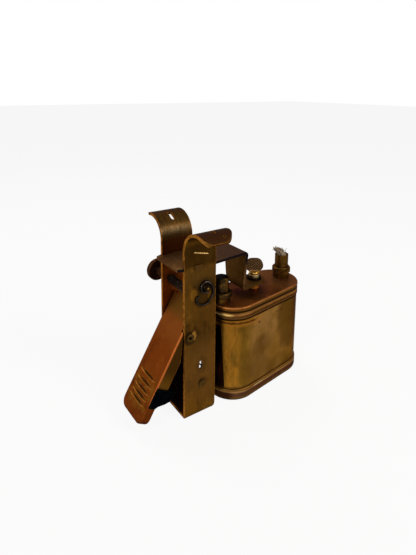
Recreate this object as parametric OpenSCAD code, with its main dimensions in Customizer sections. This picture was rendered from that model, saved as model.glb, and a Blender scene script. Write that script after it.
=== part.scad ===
// Table lighter: a brass strip frame with a squeeze lever, a knurled striker and a swivelling fuel tank.
// Millimetres. +Z is up, +X points from the lever towards the tank, +Y to the rear.
// The origin is on the ground under the middle of the frame's floor.

/* [Frame strip] */
// Width of the bent strip
strip_w = 19; // [16:0.5:21]
// Thickness of the strip
strip_t = 1.5; // [1.2:0.1:2]
// Outer depth of the frame, front face to rear face
frame_depth = 24.2; // [22:0.2:28]
// Height at which the uprights start to curl outward
upright_h = 92.3; // [89:0.1:98]
// Radius of the rear curl, on its convex face
curl_r = 12.2; // [10:0.1:14]
// Radius of the front curl, on its convex face
front_curl_r = 12.3; // [10:0.1:14]
// Sweep of the rear curl
rear_curl_deg = 105; // [95:1:125]
// Sweep of the front curl, to its end
front_curl_deg = 132; // [125:1:140]
// Radius of the front curl's end corner on the lever side
tip_left_r = 5; // [3:0.1:7]
// Radius of the front curl's end corner on the tank side
tip_right_r = 9.2; // [6:0.1:9.4]
// Radius of the round corners at the frame's foot, tank side
foot_corner_r = 2.8; // [1:0.1:4]
// Outer radius of the two bends at the floor
floor_bend_r = 1.2; // [0.5:0.1:1.4]

/* [Marks in the strip] */
// Length of the slot in each curl
curl_slot_len = 5.8; // [4:0.1:7]
// Width of the slot in each curl
curl_slot_w = 2.3; // [1:0.1:2.6]
// Sweep at which the rear curl's slot lies
rear_slot_deg = 62; // [56:1:70]
// Sweep at which the front curl's slot lies
front_slot_deg = 82; // [60:1:90]
// Radius of the small hole near the front tip
tip_hole_r = 0.6; // [0.4:0.1:1]
// Distance of the pressed line below the start of the front curl
press_line_drop = 1.7; // [1:0.1:4]
// Length of the pressed line
press_line_len = 9; // [6:0.5:12]
// Tilt of the pressed line
press_line_tilt = 14; // [0:1:16]
// Height of the spring slot's middle
spring_slot_z = 28.3; // [27:0.1:32]
// Sideways place of the spring slot
spring_slot_x = 0.5; // [-0.5:0.1:1.5]
// Length of the spring slot
spring_slot_len = 4.8; // [4:0.1:6]
// Width of the spring slot
spring_slot_w = 2.1; // [1.6:0.1:2.6]

/* [Bracket] */
// Distance of the plate's top face below the start of the curls
plate_drop = 8.1; // [6.5:0.1:10]
// Thickness of the bracket
plate_t = 1.5; // [1.2:0.1:1.8]
// How far the plate stands out past the frame on the lever side
plate_overhang = 3.5; // [2:0.1:6]
// Half width of the plate's end on the lever side
plate_end_half = 11; // [10.4:0.1:11.6]
// Radius of the plate's corners on the lever side
plate_corner_r = 1; // [0.5:0.1:1.5]
// Outer radius of the bend from plate to arm
arm_bend_r = 2.2; // [1.9:0.1:2.8]
// Distance from the arm's outer face to the clamp screw's axis
arm_to_screw = 13; // [12:0.1:14]
// Half width of the plate's end and of the arm's top
arm_top_half = 10.1; // [9:0.1:11]
// Half width of the arm's lower end
arm_low_half = 7.8; // [7:0.1:8.6]
// Radius of the foot's round end
foot_end_r = 6.3; // [5.6:0.1:7]
// Sideways place of the tenon in each upright
tenon_x = -1.2; // [-2:0.1:1]
// Width of the tenon
tenon_w = 4.4; // [3:0.1:5]

/* [Lever] */
// Distance from the strip's edge to the lever's pin
pin_in = 3.2; // [2.8:0.1:3.6]
// Height of the lever's pin
pin_z = 46.1; // [44:0.1:48]
// Radius of the lever's pin
pin_r = 1.5; // [1.3:0.05:1.6]
// Radius of the hole through the hollow pin
pin_hole_r = 0.8; // [0.5:0.1:1]
// Lean of the lever from upright
lever_lean = 30.5; // [30:0.1:31.5]
// Distance from the pin to the lever's outer face
lever_face_n = 5; // [4.8:0.1:5.2]
// Thickness of the lever's sheet
lever_t = 1.2; // [1:0.1:1.4]
// Depth of the lever's flanges
flange_depth = 7; // [6.4:0.1:7.4]
// Length of the lever below its pin
lever_down = 48.7; // [46:0.1:49]
// Length of the lever's ears above its pin
lever_up = 16; // [14:0.5:17]
// Length of the tongue above the pin
tongue_up = 25.6; // [25.2:0.1:26.4]
// Half width of the tongue
tongue_half = 5.8; // [5:0.1:6.4]
// Clearance of the lever's ears to each upright
lever_side_gap = 0.9; // [0.7:0.1:1.1]
// How much wider each side is outside the frame
lever_wider_by = 1.4; // [1:0.1:1.8]
// Distance below the pin at which the flanges end
flange_to = 28.4; // [27:0.1:30]
// Radius of the lever's lower corners
lever_corner_r = 4.5; // [2:0.1:6]
// Radius of the lever's bent edges
lever_edge_r = 1; // [0.4:0.1:1]
// Depth of the rim turned down round the lever's lower end
lip_depth = 4.5; // [3:0.1:5]
// Number of pressed grooves
groove_count = 5; // [3:1:5]
// Distance from the first groove to the second
groove_pitch = 3.85; // [3.6:0.05:4]
// How much less each next distance is
groove_closing = 0.38; // [0.3:0.02:0.4]
// Distance below the pin of the first groove
groove_from = 27.2; // [26.8:0.1:27.6]
// Length of each groove
groove_len = 19; // [14:0.5:19.5]
// Width of each groove
groove_w = 1.9; // [1.4:0.1:2]
// Length of the black block along the lever
block_len = 10; // [8:0.1:10.2]
// Depth of the black block below the lever's inside face
block_depth = 10.6; // [9:0.1:11]
// How far the block stands out past the lever's front edge
block_proud = 0.9; // [0.4:0.1:1.4]

/* [Striker and flint] */
// Sideways distance from the lever's pin to the striker's axis
striker_over = 1; // [0.8:0.1:1.4]
// Height of the striker's axis above the lever's pin
striker_up = 24.4; // [24.3:0.1:25]
// Radius of the knurled roller
roller_r = 2.4; // [2.1:0.05:2.5]
// Distance from the roller's rear end to the rear upright
roller_rear_gap = 2.6; // [1:0.1:4]
// Radius of the striker's shaft
shaft_r = 1.25; // [1.1:0.05:1.4]
// Radius of the knob
knob_r = 6.2; // [5:0.1:7]
// Thickness of the knob's disc
knob_t = 2.8; // [2:0.1:3.4]
// Length of the knob's hub
hub_len = 10.7; // [9:0.1:14]
// Radius of the knob's hub
hub_r = 2.4; // [2:0.1:3]
// Radius of the flint
flint_r = 1.3; // [1.1:0.05:1.4]
// Length of the flint tube
flint_tube_len = 8.6; // [8.2:0.1:9.4]
// Outer radius of the flint tube
flint_tube_r = 2.2; // [2:0.05:2.4]
// Distance of the flint tube above the pin, along the lever
flint_up = 22.5; // [22:0.1:22.8]
// How far the flint stands out of the lever's face
flint_out = 1.25; // [0.9:0.05:1.3]

/* [Keeper] */
// Sideways place of the keeper's stud
stud_x = 3; // [2.6:0.1:3.4]
// Distance of the keeper's stud below the start of the curls
stud_drop = 20.5; // [19.8:0.1:21.3]
// Radius of the stud
stud_r = 1.6; // [1.4:0.05:1.7]
// Diameter of the keeper's wire
keeper_wire_d = 1; // [0.8:0.05:1.1]
// Radius of the wire's loop round the stud
keeper_loop_r = 3; // [2.8:0.1:3.2]
// Radius of the wire's open hook
keeper_hook_r = 4.8; // [4.6:0.1:5.2]

/* [Tank] */
// Length of the tank's wall
tank_len = 64.2; // [60:0.2:66]
// Width of the tank's wall
tank_w = 28.4; // [26:0.2:30]
// Height of the tank's lid
tank_h = 56.2; // [55:0.1:57]
// Turn of the tank about the clamp screw, as it stands
tank_yaw = 8; // [0:1:15]
// Distance of the tank's middle from the clamp screw, away from the frame
tank_shift = 0.5; // [0:0.1:1]
// Thickness of the tank's wall
tank_wall = 0.8; // [0.6:0.1:1]
// How far the base cap stands out past the wall
base_out = 0.6; // [0.4:0.1:1]
// Height of the base cap
base_h = 7; // [6:0.1:8]
// Radius of the base cap's lower edge
base_edge_r = 1.8; // [1:0.1:2.2]
// How far the lid stands out past the wall
lid_out = 0.4; // [0.3:0.05:0.8]
// Height of the lid's rim
lid_rim_h = 7; // [6.8:0.1:7.6]
// Height of the lip at the lid's top
lid_lip_h = 2; // [1.8:0.1:2.2]
// Radius of the bead round the lid
lid_bead_r = 1.5; // [1.3:0.05:1.6]
// Distance from the tank's near end to the filler
filler_inset = 5.1; // [4.8:0.1:7]
// Distance from the tank's far end to the wick tube
wick_inset = 7.2; // [5.6:0.1:8]

/* [Tubes on the lid] */
// Height of the two necks above the lid
neck_h = 3; // [2.5:0.1:4]
// Radius of the two necks
neck_r = 4.9; // [4.6:0.1:5.2]
// Outer radius of the wick tube and of the filler cap
tube_r = 4.1; // [3.9:0.05:4.3]
// Height of both tubes above the lid
tube_top = 14.3; // [13:0.1:16]
// Width of the wick nut across its corners
nut_across = 11.6; // [11:0.1:12]
// Height of the wick nut and of the cap's collar
nut_h = 3.5; // [3:0.1:5]
// Radius of the cap's collar
collar_r = 5.8; // [5.2:0.1:6.2]
// Thickness of the wick tube's wall
wick_tube_wall = 0.7; // [0.5:0.05:0.9]
// Radius of the filler's threaded pipe
pipe_r = 3; // [2.6:0.05:3.1]
// How far the wick stands out of its tube
wick_out = 6.4; // [4:0.1:8]

/* [Clamp screw] */
// Radius of the boss on the lid
boss_r = 3; // [2.6:0.1:3.4]
// Radius of the clamp screw's shank
shank_r = 1.75; // [1.5:0.05:1.9]
// Height of the boss on the lid
boss_h = 4.1; // [4:0.1:5]
// Outer radius of the washer
washer_r = 4.3; // [4:0.1:5]
// Thickness of the washer
washer_t = 0.9; // [0.7:0.05:1.2]
// Radius of the collar under the head
collar_rim_r = 3.3; // [2.8:0.1:3.6]
// Height of the collar under the head
collar_h = 2; // [1.6:0.1:2.4]
// Width of the flat head
head_w = 10.4; // [9:0.1:12]
// Height of the flat head
head_h = 8.2; // [7.4:0.1:8.8]
// Thickness of the flat head
head_t = 1.8; // [1.4:0.1:2.4]
// Turn of the flat head about the screw's axis
head_turn = -34; // [-60:1:0]

/* [Low spacer] */
// Sideways place of the low rivet
rivet_x = 1.2; // [0:0.1:2]
// Height of the low rivet
rivet_z = 17.7; // [17:0.1:18.4]
// Radius of the low rivet
rivet_r = 1.3; // [1:0.05:1.5]
// Distance from the spacer block's left side to the low rivet
spacer_in = 9.7; // [9:0.1:9.9]
// Distance from the spacer block's underside to the low rivet
spacer_drop = 4.5; // [3.6:0.1:5]
// Width of the spacer block
spacer_w = 12.6; // [11:0.1:13.6]
// Height of the spacer block
spacer_h = 8; // [7:0.1:9]

/* [Hidden] */
$fn = 64;

// Clearance of a running fit, all round
run_gap = 0.05;
// Clearance between soldered or pressed pieces
fit_gap = 0.02;
// Gap between faces that pass each other
pass_gap = 0.1;
// How far a cutting shape passes the faces that it cuts
cut_over = 1;
// Gap between a piece in motion and the edge that it passes
edge_gap = 0.25;
// Swing of the lever until its flint meets the roller
closed_deg = 7;

frame_half = frame_depth / 2;
inner_half = frame_half - strip_t;
tip_y = inner_half + front_curl_r + front_curl_r * sin(front_curl_deg - 90);
frame_left = -strip_w / 2;
frame_right = strip_w / 2;
tip_hole_deg = 115;
tip_hole_x = 2.9;
press_line_r = 0.35;
press_line_x = 0.1;
press_line_z = upright_h - press_line_drop;

plate_top = upright_h - plate_drop;
plate_left = frame_left - plate_overhang;
screw_x = 45.5;
arm_x = screw_x - arm_to_screw;
plate_low = plate_top - plate_t;
foot_gap = pass_gap;
foot_low = tank_h + boss_h + foot_gap;
foot_top = foot_low + plate_t;
foot_bend_in = 0.8;
peen_t = 0.35;
peen_h = 2.6;
plate_notch_gap = 0.1;

pin_x = frame_left + pin_in;
lever_half = inner_half - lever_side_gap;
lever_wide = lever_half + lever_wider_by;
lever_n_in = lever_face_n - lever_t;
lever_corner_s = lever_down - lever_corner_r;
flange_n = lever_face_n - flange_depth;
closed_lean = lever_lean - closed_deg;
edge_in = pin_in + edge_gap;
wide_lip = 0.7;
slant_blunt = 0.3;
lip_round_r = 1.8;
wide_s = edge_s(lever_n_in - wide_lip);
joggle_s = edge_s(flange_n);
// Height at which the frame's edge is as near to the open lever as to the closed one
knee_n = min(lever_n_in, edge_in * cos(lever_lean - closed_deg / 2) / cos(closed_deg / 2));
ear_r = 3.3;
block_n = lever_n_in - block_depth;
block_side_gap = 0.1;
block_bevels = [[1, 0.22], [0.84, 0.36], [0.68, 0.67], [0.5, 0.89]];
block_stand = block_bevels[0][1] * block_depth;
groove_depth = 0.7;
pin_head_r = 2.2;
pin_head_t = 0.45;
striker_x = pin_x + striker_over;
striker_z = pin_z + striker_up;

flint_len = 4.2;
flint_tip_n = lever_face_n + flint_out;
flint_tube_proud = 0.4;
flint_tube_out_n = lever_face_n + flint_tube_proud;
flint_tube_in_n = flint_tube_out_n - flint_tube_len;
flint_tube_rim_r = 3;
flint_tube_rim_t = 0.6;
flint_screw_len = 2;
flint_head_t = 0.8;
spigot_len = 1.1;
shaft_end_y = frame_half + pass_gap + hub_len + knob_t * 0.6;
hub_y = frame_half + pass_gap;
knob_y = hub_y + hub_len;
knob_pin_r = 0.5;
knob_rim = 0.5;

wire_y = -frame_half - 0.2 - keeper_wire_d / 2;
stud_head_r = 2.3;
stud_head_t = 1.1;
stud_nut_t = 1.5;
stud_nut_across = 6;
stud_z = upright_h - stud_drop;
keeper_hook_in = 1.1;
keeper_hook_drop = 4.6;
hook_x = stud_x - keeper_hook_in;
hook_z = stud_z - keeper_hook_drop;

wall_r = tank_w / 2;
tank_s = tank_len / 2 - wall_r;
base_r = wall_r + base_out;
base_top_edge_r = 0.6;
base_t = 1.2;
lid_r = wall_r + lid_out;
lid_low = tank_h - lid_rim_h;
lid_t = 1.2;
lid_edge_r = 1;
lid_cove_h = 0.8;
lid_cove = 0.3;
bead_z = tank_h - lid_lip_h - lid_cove_h - lid_bead_r;
lid_groove_h = 0.2;
wall_top = bead_z - lid_bead_r - lid_groove_h;
pan_gap = fit_gap;
packing_gap = 0.3;
filler_reach = tank_len / 2 - tank_shift - filler_inset;
wick_reach = tank_len / 2 + tank_shift - wick_inset;

tube_z = tank_h + tube_top;
neck_top = tank_h + neck_h;
nut_low = neck_top + pass_gap;
nut_top = nut_low + nut_h;
nut_turned = 0.2;
nut_bevel = 0.7;
pipe_bore_r = 2.2;
pipe_low = lid_low + 1;
pipe_short = 3.2;
pipe_top = tube_z - pipe_short;
gasket_t = 1.4;
wick_tube_below = 3;
wick_tube_low = lid_low - wick_tube_below;
wick_gap = 0.15;
wick_r = tube_r - wick_tube_wall - wick_gap;
wick_depth = 9;
wick_low = lid_low - wick_depth;
wick_lean = 2.6;
well_gap = 0.4;
well_r = tube_r + well_gap;
well_floor = wick_low - packing_gap;

washer_low = foot_top + fit_gap;
screw_low = tank_h + 1.2;
shoulder_z = washer_low + washer_t + run_gap;
bead_ring_r = 2.9;
bead_ring_h = 1.3;
head_z = shoulder_z + collar_h + bead_ring_h;
head_sink = 0.3;

rivet_head_r = 1.9;
rivet_head_t = 0.6;
spacer_left = rivet_x - spacer_in;
spacer_low = rivet_z - spacer_drop;

BRASS = [0.55, 0.40, 0.16];
BROWN = [0.30, 0.20, 0.14];
COPPER = [0.50, 0.27, 0.11];
STEEL = [0.35, 0.33, 0.31];
BLACK = [0.05, 0.06, 0.07];

// Flat shapes that several pieces share

// Straight slot outline along Y, with round ends
module slot_shape(len, w) {
    square([w, len - w], center = true);
    translate([0, (len - w) / 2]) circle(d = w);
    translate([0, (w - len) / 2]) circle(d = w);
}

// Outline with straight sides and half-round ends, along X
module stadium(half_len, r) {
    square([2 * half_len, 2 * r], center = true);
    translate([half_len, 0]) circle(r = r);
    translate([-half_len, 0]) circle(r = r);
}

// Wedge from angle a0 to a1 that reaches past radius r
module wedge(a0, a1, r) {
    steps = 6;
    polygon([[0, 0], for (i = [0:steps]) 1.5 * r * [cos(a0 + (a1 - a0) * i / steps),
                                                    sin(a0 + (a1 - a0) * i / steps)]]);
}

// Band of the strip bent round its own centre, from angle a0 to a1
module band(r, t, a0, a1) {
    intersection() {
        difference() {
            circle(r = r);
            circle(r = r - t);
        }
        wedge(a0, a1, r);
    }
}

// Solid stadium tank shape from a profile of (distance from the middle line, height)
module tank_sweep() {
    for (side = [-1, 1]) translate([side * tank_s, 0, 0]) rotate([0, 0, -90 * side])
        rotate_extrude(angle = 180) children();
    rotate([90, 0, 90]) linear_extrude(2 * tank_s, center = true) {
        children();
        mirror([1, 0]) children();
    }
}

// Stands a piece on the tank's place and turn
module on_tank() {
    translate([screw_x, 0, 0]) rotate([0, 0, tank_yaw]) children();
}

module on_shell() {
    on_tank() translate([tank_shift, 0, 0]) children();
}

// The lever's own axes: X down along the lever, Y across it, Z out of its face, with the pin at the middle
module on_lever() {
    translate([pin_x, 0, pin_z]) rotate([0, 90 + lever_lean, 0]) rotate([180, 0, 0]) children();
}

function lerp(a, b, t) = a + (b - a) * t;
function unit(v) = v / norm(v);

// Tube swept along points, with its rings square to the path
function path_dir(p, i) = unit((i == 0) ? p[1] - p[0] : (i == len(p) - 1) ? p[i] - p[i - 1]
    : unit(p[i] - p[i - 1]) + unit(p[i + 1] - p[i]));
function carried(u, d) = unit(u - (u * d) * d);
function side_dirs(p, i, u) = (i == len(p)) ? []
    : let (v = carried(u, path_dir(p, i))) concat([v], side_dirs(p, i + 1, v));
function least_gap(p, reach) = min([for (i = [0:len(p) - 1]) for (j = [i + reach:1:len(p) - 1])
    norm(p[i] - p[j])]);

module swept_tube(p, r, sides, first_side) {
    dirs = side_dirs(p, 0, first_side);
    rings = [for (i = [0:len(p) - 1]) let (d = path_dir(p, i), u = dirs[i], v = cross(d, u))
        for (k = [0:sides - 1]) p[i] + r * (cos(360 * k / sides) * u + sin(360 * k / sides) * v)];
    last = len(p) - 1;
    caps = [for (k = [1:sides - 2]) [0, k + 1, k], for (k = [1:sides - 2])
        [last * sides, last * sides + k, last * sides + k + 1]];
    walls = [for (i = [0:last - 1]) for (k = [0:sides - 1]) let (a = i * sides + k,
        b = i * sides + (k + 1) % sides) each [[a, b, b + sides], [a, b + sides, a + sides]]];
    polyhedron(rings, concat(caps, walls));
}

// Frame

module frame_side() {
    difference() {
        translate([-frame_half, 0]) square([frame_depth, upright_h]);
        translate([-inner_half, strip_t]) square([2 * inner_half, upright_h]);
        for (side = [-1, 1]) translate([side * (frame_half - floor_bend_r), floor_bend_r]) difference() {
            translate([side > 0 ? 0 : -2 * floor_bend_r, -2 * floor_bend_r]) square(2 * floor_bend_r);
            circle(r = floor_bend_r);
        }
    }
    translate([inner_half + curl_r, upright_h]) band(curl_r, strip_t, 180 - rear_curl_deg, 180);
    mirror([1, 0]) translate([inner_half + front_curl_r, upright_h])
        band(front_curl_r, strip_t, 180 - front_curl_deg, 180);
}

// Cutting shape square to a curl of radius r at a sweep angle, to the rear
module curl_cut(r, deg) {
    translate([0, inner_half + r, upright_h]) rotate([90 - deg, 0, 0])
        translate([0, 0, r - strip_t - cut_over]) linear_extrude(strip_t + 2 * cut_over) children();
}

module frame_foot_cut() {
    translate([frame_right - foot_corner_r, -frame_half - cut_over, -cut_over]) difference() {
        cube([foot_corner_r + cut_over, frame_depth + 2 * cut_over, foot_corner_r + cut_over]);
        translate([0, 0, cut_over + foot_corner_r]) rotate([-90, 0, 0])
            cylinder(h = frame_depth + 2 * cut_over, r = foot_corner_r);
    }
}

module through_frame(x, z, r) {
    translate([x, 0, z]) rotate([90, 0, 0]) cylinder(h = frame_depth + 2 * cut_over, r = r, center = true);
}

// Plan of what a round corner of radius r takes off the front curl's end, on the tank side
module tip_corner(r) {
    translate([frame_right - r, r - tip_y]) difference() {
        translate([0, -r - cut_over]) square(r + cut_over);
        circle(r = r);
    }
}

module frame() {
    color(BRASS) {
        difference() {
            rotate([90, 0, 90]) linear_extrude(strip_w, center = true) frame_side();
            translate([0, 0, upright_h]) linear_extrude(2 * front_curl_r) {
                tip_corner(tip_right_r);
                mirror([1, 0]) tip_corner(tip_left_r);
            }
            curl_cut(curl_r, rear_slot_deg) slot_shape(curl_slot_len, curl_slot_w);
            mirror([0, 1, 0]) curl_cut(front_curl_r, front_slot_deg) slot_shape(curl_slot_len, curl_slot_w);
            mirror([0, 1, 0]) curl_cut(front_curl_r, tip_hole_deg)
                translate([tip_hole_x, 0]) circle(r = tip_hole_r);
            frame_foot_cut();
            translate([tenon_x, 0, plate_low + plate_t / 2])
                cube([tenon_w + 2 * fit_gap, frame_depth + 2 * cut_over, plate_t + 2 * fit_gap],
                    center = true);
            through_frame(pin_x, pin_z, pin_r + fit_gap);
            through_frame(rivet_x, rivet_z, rivet_r + fit_gap);
            translate([spring_slot_x, -inner_half + cut_over, spring_slot_z]) rotate([90, 0, 0])
                linear_extrude(strip_t + 2 * cut_over) slot_shape(spring_slot_len, spring_slot_w);
            translate([stud_x, -inner_half + cut_over, stud_z]) rotate([90, 0, 0])
                cylinder(h = strip_t + 2 * cut_over, r = stud_r + fit_gap);
            translate([striker_x, -inner_half - spigot_len, striker_z]) rotate([-90, 0, 0])
                cylinder(h = frame_depth + 2 * cut_over, r = shaft_r + run_gap);
        }
        translate([press_line_x, -frame_half, press_line_z]) rotate([0, 90 + press_line_tilt, 0])
            cylinder(h = press_line_len, r = press_line_r, center = true);
    }
}

// Bracket

module plate_plan() {
    side_y = inner_half - fit_gap;
    wide_x = frame_right + plate_notch_gap;
    end_x = arm_x - arm_bend_r;
    difference() {
        union() {
            polygon([[plate_left, plate_corner_r - plate_end_half],
                [plate_left + plate_corner_r, -plate_end_half], [frame_left, -frame_half],
                [wide_x, -frame_half], [end_x, -arm_top_half], [end_x, arm_top_half],
                [wide_x, frame_half], [frame_left, frame_half],
                [plate_left + plate_corner_r, plate_end_half],
                [plate_left, plate_end_half - plate_corner_r]]);
            for (side = [-1, 1])
                translate([plate_left + plate_corner_r, side * (plate_end_half - plate_corner_r)])
                    circle(r = plate_corner_r);
        }
        for (side = [-1, 1]) translate([0, side * (side_y + strip_t)])
            square([strip_w + 2 * plate_notch_gap, 2 * strip_t], center = true);
    }
    translate([tenon_x, 0]) square([tenon_w, frame_depth + 2 * peen_t], center = true);
}

module bracket() {
    color(BROWN) difference() {
        union() {
            translate([0, 0, plate_low]) linear_extrude(plate_t) plate_plan();
            for (side = [-1, 1])
                translate([tenon_x, side * (frame_half + fit_gap + peen_t / 2), plate_low + plate_t / 2])
                    cube([tenon_w, peen_t, peen_h], center = true);
            translate([arm_x - arm_bend_r, 0, plate_top - arm_bend_r]) rotate([90, 0, 0])
                linear_extrude(2 * arm_top_half, center = true) band(arm_bend_r, plate_t, 0, 90);
            translate([arm_x - plate_t, 0, 0]) rotate([90, 0, 90]) linear_extrude(plate_t)
                polygon([[-arm_top_half, plate_top - arm_bend_r], [-arm_low_half, foot_top + foot_bend_in],
                    [arm_low_half, foot_top + foot_bend_in], [arm_top_half, plate_top - arm_bend_r]]);
            translate([arm_x + foot_bend_in, 0, foot_top + foot_bend_in]) rotate([90, 0, 0])
                linear_extrude(2 * arm_low_half, center = true)
                    band(foot_bend_in + plate_t, plate_t, 180, 270);
            translate([0, 0, foot_low]) linear_extrude(plate_t) {
                polygon([[arm_x + foot_bend_in, -arm_low_half], [screw_x, -foot_end_r],
                    [screw_x, foot_end_r], [arm_x + foot_bend_in, arm_low_half]]);
                translate([screw_x, 0]) circle(r = foot_end_r);
            }
        }
        translate([screw_x, 0, foot_low - cut_over])
            cylinder(h = plate_t + 2 * cut_over, r = shank_r + 3 * run_gap);
    }
}

// Low spacer and its rivet

module spacer_block() {
    color(BLACK) difference() {
        translate([spacer_left, -inner_half + fit_gap, spacer_low])
            cube([spacer_w, 2 * (inner_half - fit_gap), spacer_h]);
        through_frame(rivet_x, rivet_z, rivet_r + fit_gap);
    }
}

module spacer_rivet() {
    color(BRASS) translate([rivet_x, 0, rivet_z]) rotate([90, 0, 0]) {
        cylinder(h = frame_depth, r = rivet_r, center = true);
        for (side = [-1, 1]) translate([0, 0, side * (frame_half + rivet_head_t / 2)])
            cylinder(h = rivet_head_t, r = rivet_head_r, center = true);
    }
}

// Lever and what it carries

module pivot_pin() {
    color(BRASS) translate([pin_x, 0, pin_z]) rotate([90, 0, 0]) difference() {
        union() {
            cylinder(h = frame_depth, r = pin_r, center = true);
            for (side = [-1, 1]) translate([0, 0, side * (frame_half + pin_head_t / 2)])
                cylinder(h = pin_head_t, r = pin_head_r, center = true);
        }
        cylinder(h = frame_depth + 2 * cut_over, r = pin_hole_r, center = true);
    }
}

module pivot_washers() {
    gap = 2 * run_gap;
    color(BRASS) for (side = [-1, 1])
        translate([pin_x, side * (lever_half + lever_side_gap / 2), pin_z]) rotate([90, 0, 0])
            difference() {
                cylinder(h = lever_side_gap - 2 * gap, r = 2 * pin_r, center = true);
                cylinder(h = lever_side_gap + cut_over, r = pin_r + run_gap, center = true);
            }
}

// Distance along the lever past which height n over the pin clears the frame's edge, open and closed
function edge_s(n) = max([for (lean = [closed_lean, lever_lean]) (edge_in - n * cos(lean)) / sin(lean)]);

// Section of the web's edge, from the middle out to reach
module web_section(reach) {
    flat = reach - lever_edge_r;
    square([flat, lever_t]);
    square([reach, lever_t - lever_edge_r]);
    intersection() {
        translate([flat, lever_t - lever_edge_r]) circle(r = lever_edge_r);
        translate([flat, 0]) square([lever_edge_r, lever_t]);
    }
}

// The web, whose wide part starts along a slant that clears the uprights
module lever_web() {
    from = edge_s(lever_face_n - slant_blunt);
    intersection() {
        translate([from, 0, 0]) rotate([90, 0, 90]) linear_extrude(lever_corner_s - from) {
            web_section(lever_wide);
            mirror([1, 0]) web_section(lever_wide);
        }
        rotate([90, 0, 0]) linear_extrude(4 * lever_wide, center = true)
            polygon([[edge_s(lever_n_in - cut_over), -cut_over],
                [edge_s(lever_face_n + cut_over), lever_t + cut_over],
                [lever_down, lever_t + cut_over], [lever_down, -cut_over]]);
    }
    translate([lever_corner_s, 0, 0]) rotate([90, 0, 0])
        linear_extrude(2 * (lever_wide - lever_corner_r), center = true) web_section(lever_corner_r);
    for (side = [-1, 1]) translate([lever_corner_s, side * (lever_wide - lever_corner_r), 0])
        rotate([0, 0, side > 0 ? 0 : -90]) rotate_extrude(angle = 90) web_section(lever_corner_r);
    linear_extrude(lever_t) {
        translate([-lever_up, -lever_half]) square([lever_up + wide_s, 2 * lever_half]);
        translate([-tongue_up, -tongue_half]) square([tongue_up, 2 * tongue_half]);
    }
}

// Rim turned down round the lever's lower end, below the block
module lever_rim() {
    low = lever_face_n - lip_depth;
    high = lip_depth - lever_edge_r;
    corner_y = lever_wide - lever_corner_r;
    lip_from = flange_to + block_len + 2 * pass_gap;
    lip_to = lever_down - lip_round_r;
    intersection() {
        union() {
            translate([lever_down - lever_t, -corner_y, low]) cube([lever_t, 2 * corner_y, high]);
            for (side = [-1, 1]) {
                translate([lip_from, side * (lever_wide - lever_t / 2) - lever_t / 2, low])
                    cube([lever_corner_s - lip_from, lever_t, high]);
                translate([lever_corner_s, side * corner_y, low]) rotate([0, 0, side > 0 ? 0 : -90])
                    rotate_extrude(angle = 90) translate([lever_corner_r - lever_t, 0])
                        square([lever_t, high]);
            }
        }
        rotate([90, 0, 0]) linear_extrude(4 * lever_wide, center = true) {
            translate([lip_from - cut_over, low - cut_over])
                square([lip_to - lip_from + cut_over, high + 2 * cut_over]);
            translate([lip_to - cut_over, low + lip_round_r]) square([lip_round_r + 2 * cut_over, high]);
            translate([lip_to, low + lip_round_r]) circle(r = lip_round_r);
        }
    }
}

// One flange, on the side of +Y or -Y: an ear inside the frame and a wider side outside it
module flange(side) {
    top = lever_face_n - lever_edge_r;
    mirror([0, side > 0 ? 0 : 1, 0]) {
        translate([-lever_up, lever_half - lever_t, flange_n])
            cube([lever_up + joggle_s + lever_t, lever_t, lever_n_in - flange_n]);
        translate([0, lever_wide, 0]) rotate([90, 0, 0]) linear_extrude(lever_wide - lever_half)
            polygon([[edge_s(top), top], [edge_s(knee_n), knee_n], [joggle_s, flange_n],
                [flange_to, flange_n], [flange_to, top]]);
        translate([0, lever_wide, 0]) rotate([90, 0, 0]) linear_extrude(lever_t)
            polygon([[joggle_s, lever_n_in], [joggle_s, flange_n], [flange_to, flange_n],
                [flange_to, lever_n_in]]);
        translate([0, lever_half, 0]) rotate([90, 0, 0]) cylinder(h = lever_t, r = ear_r);
    }
}

// Groove with pointed ends across the lever, from its own width and length
module groove() {
    half = groove_len / 2;
    r = groove_w / 2;
    rotate([90, 0, 0]) rotate_extrude()
        polygon([[0, -half], [0.62 * r, -0.66 * half], [r, -0.22 * half], [r, 0.22 * half],
            [0.62 * r, 0.66 * half], [0, half]]);
}

module lever() {
    color(COPPER) on_lever() difference() {
        union() {
            translate([0, 0, lever_n_in]) lever_web();
            for (side = [-1, 1]) flange(side);
            lever_rim();
        }
        rotate([90, 0, 0]) cylinder(h = frame_depth, r = pin_r + run_gap, center = true);
        for (i = [0:groove_count - 1])
            translate([groove_from + i * groove_pitch - i * (i - 1) / 2 * groove_closing, 0,
                lever_face_n + groove_w / 2 - groove_depth]) groove();
        translate([-flint_up, 0, lever_n_in - cut_over])
            cylinder(h = lever_t + 2 * cut_over, r = flint_tube_r + fit_gap);
    }
}

// The block fills the channel under the web, and stands up beside the web's front edge
module bumper_block() {
    from = flange_to + pass_gap;
    front_y = lever_wide + block_proud;
    back_y = lever_wide - lever_t;
    under_n = lever_n_in - fit_gap;
    color(BLACK) on_lever() {
        translate([0, front_y, 0]) rotate([90, 0, 0]) linear_extrude(front_y + back_y)
            polygon([[from, under_n], [from + block_len, under_n],
                for (b = block_bevels) [from + b[0] * block_len, lever_n_in - b[1] * block_depth],
                [from, block_n]]);
        translate([from, lever_wide + block_side_gap, lever_n_in - block_stand])
            cube([block_len, block_proud - block_side_gap, block_stand + lever_t]);
    }
}

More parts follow.
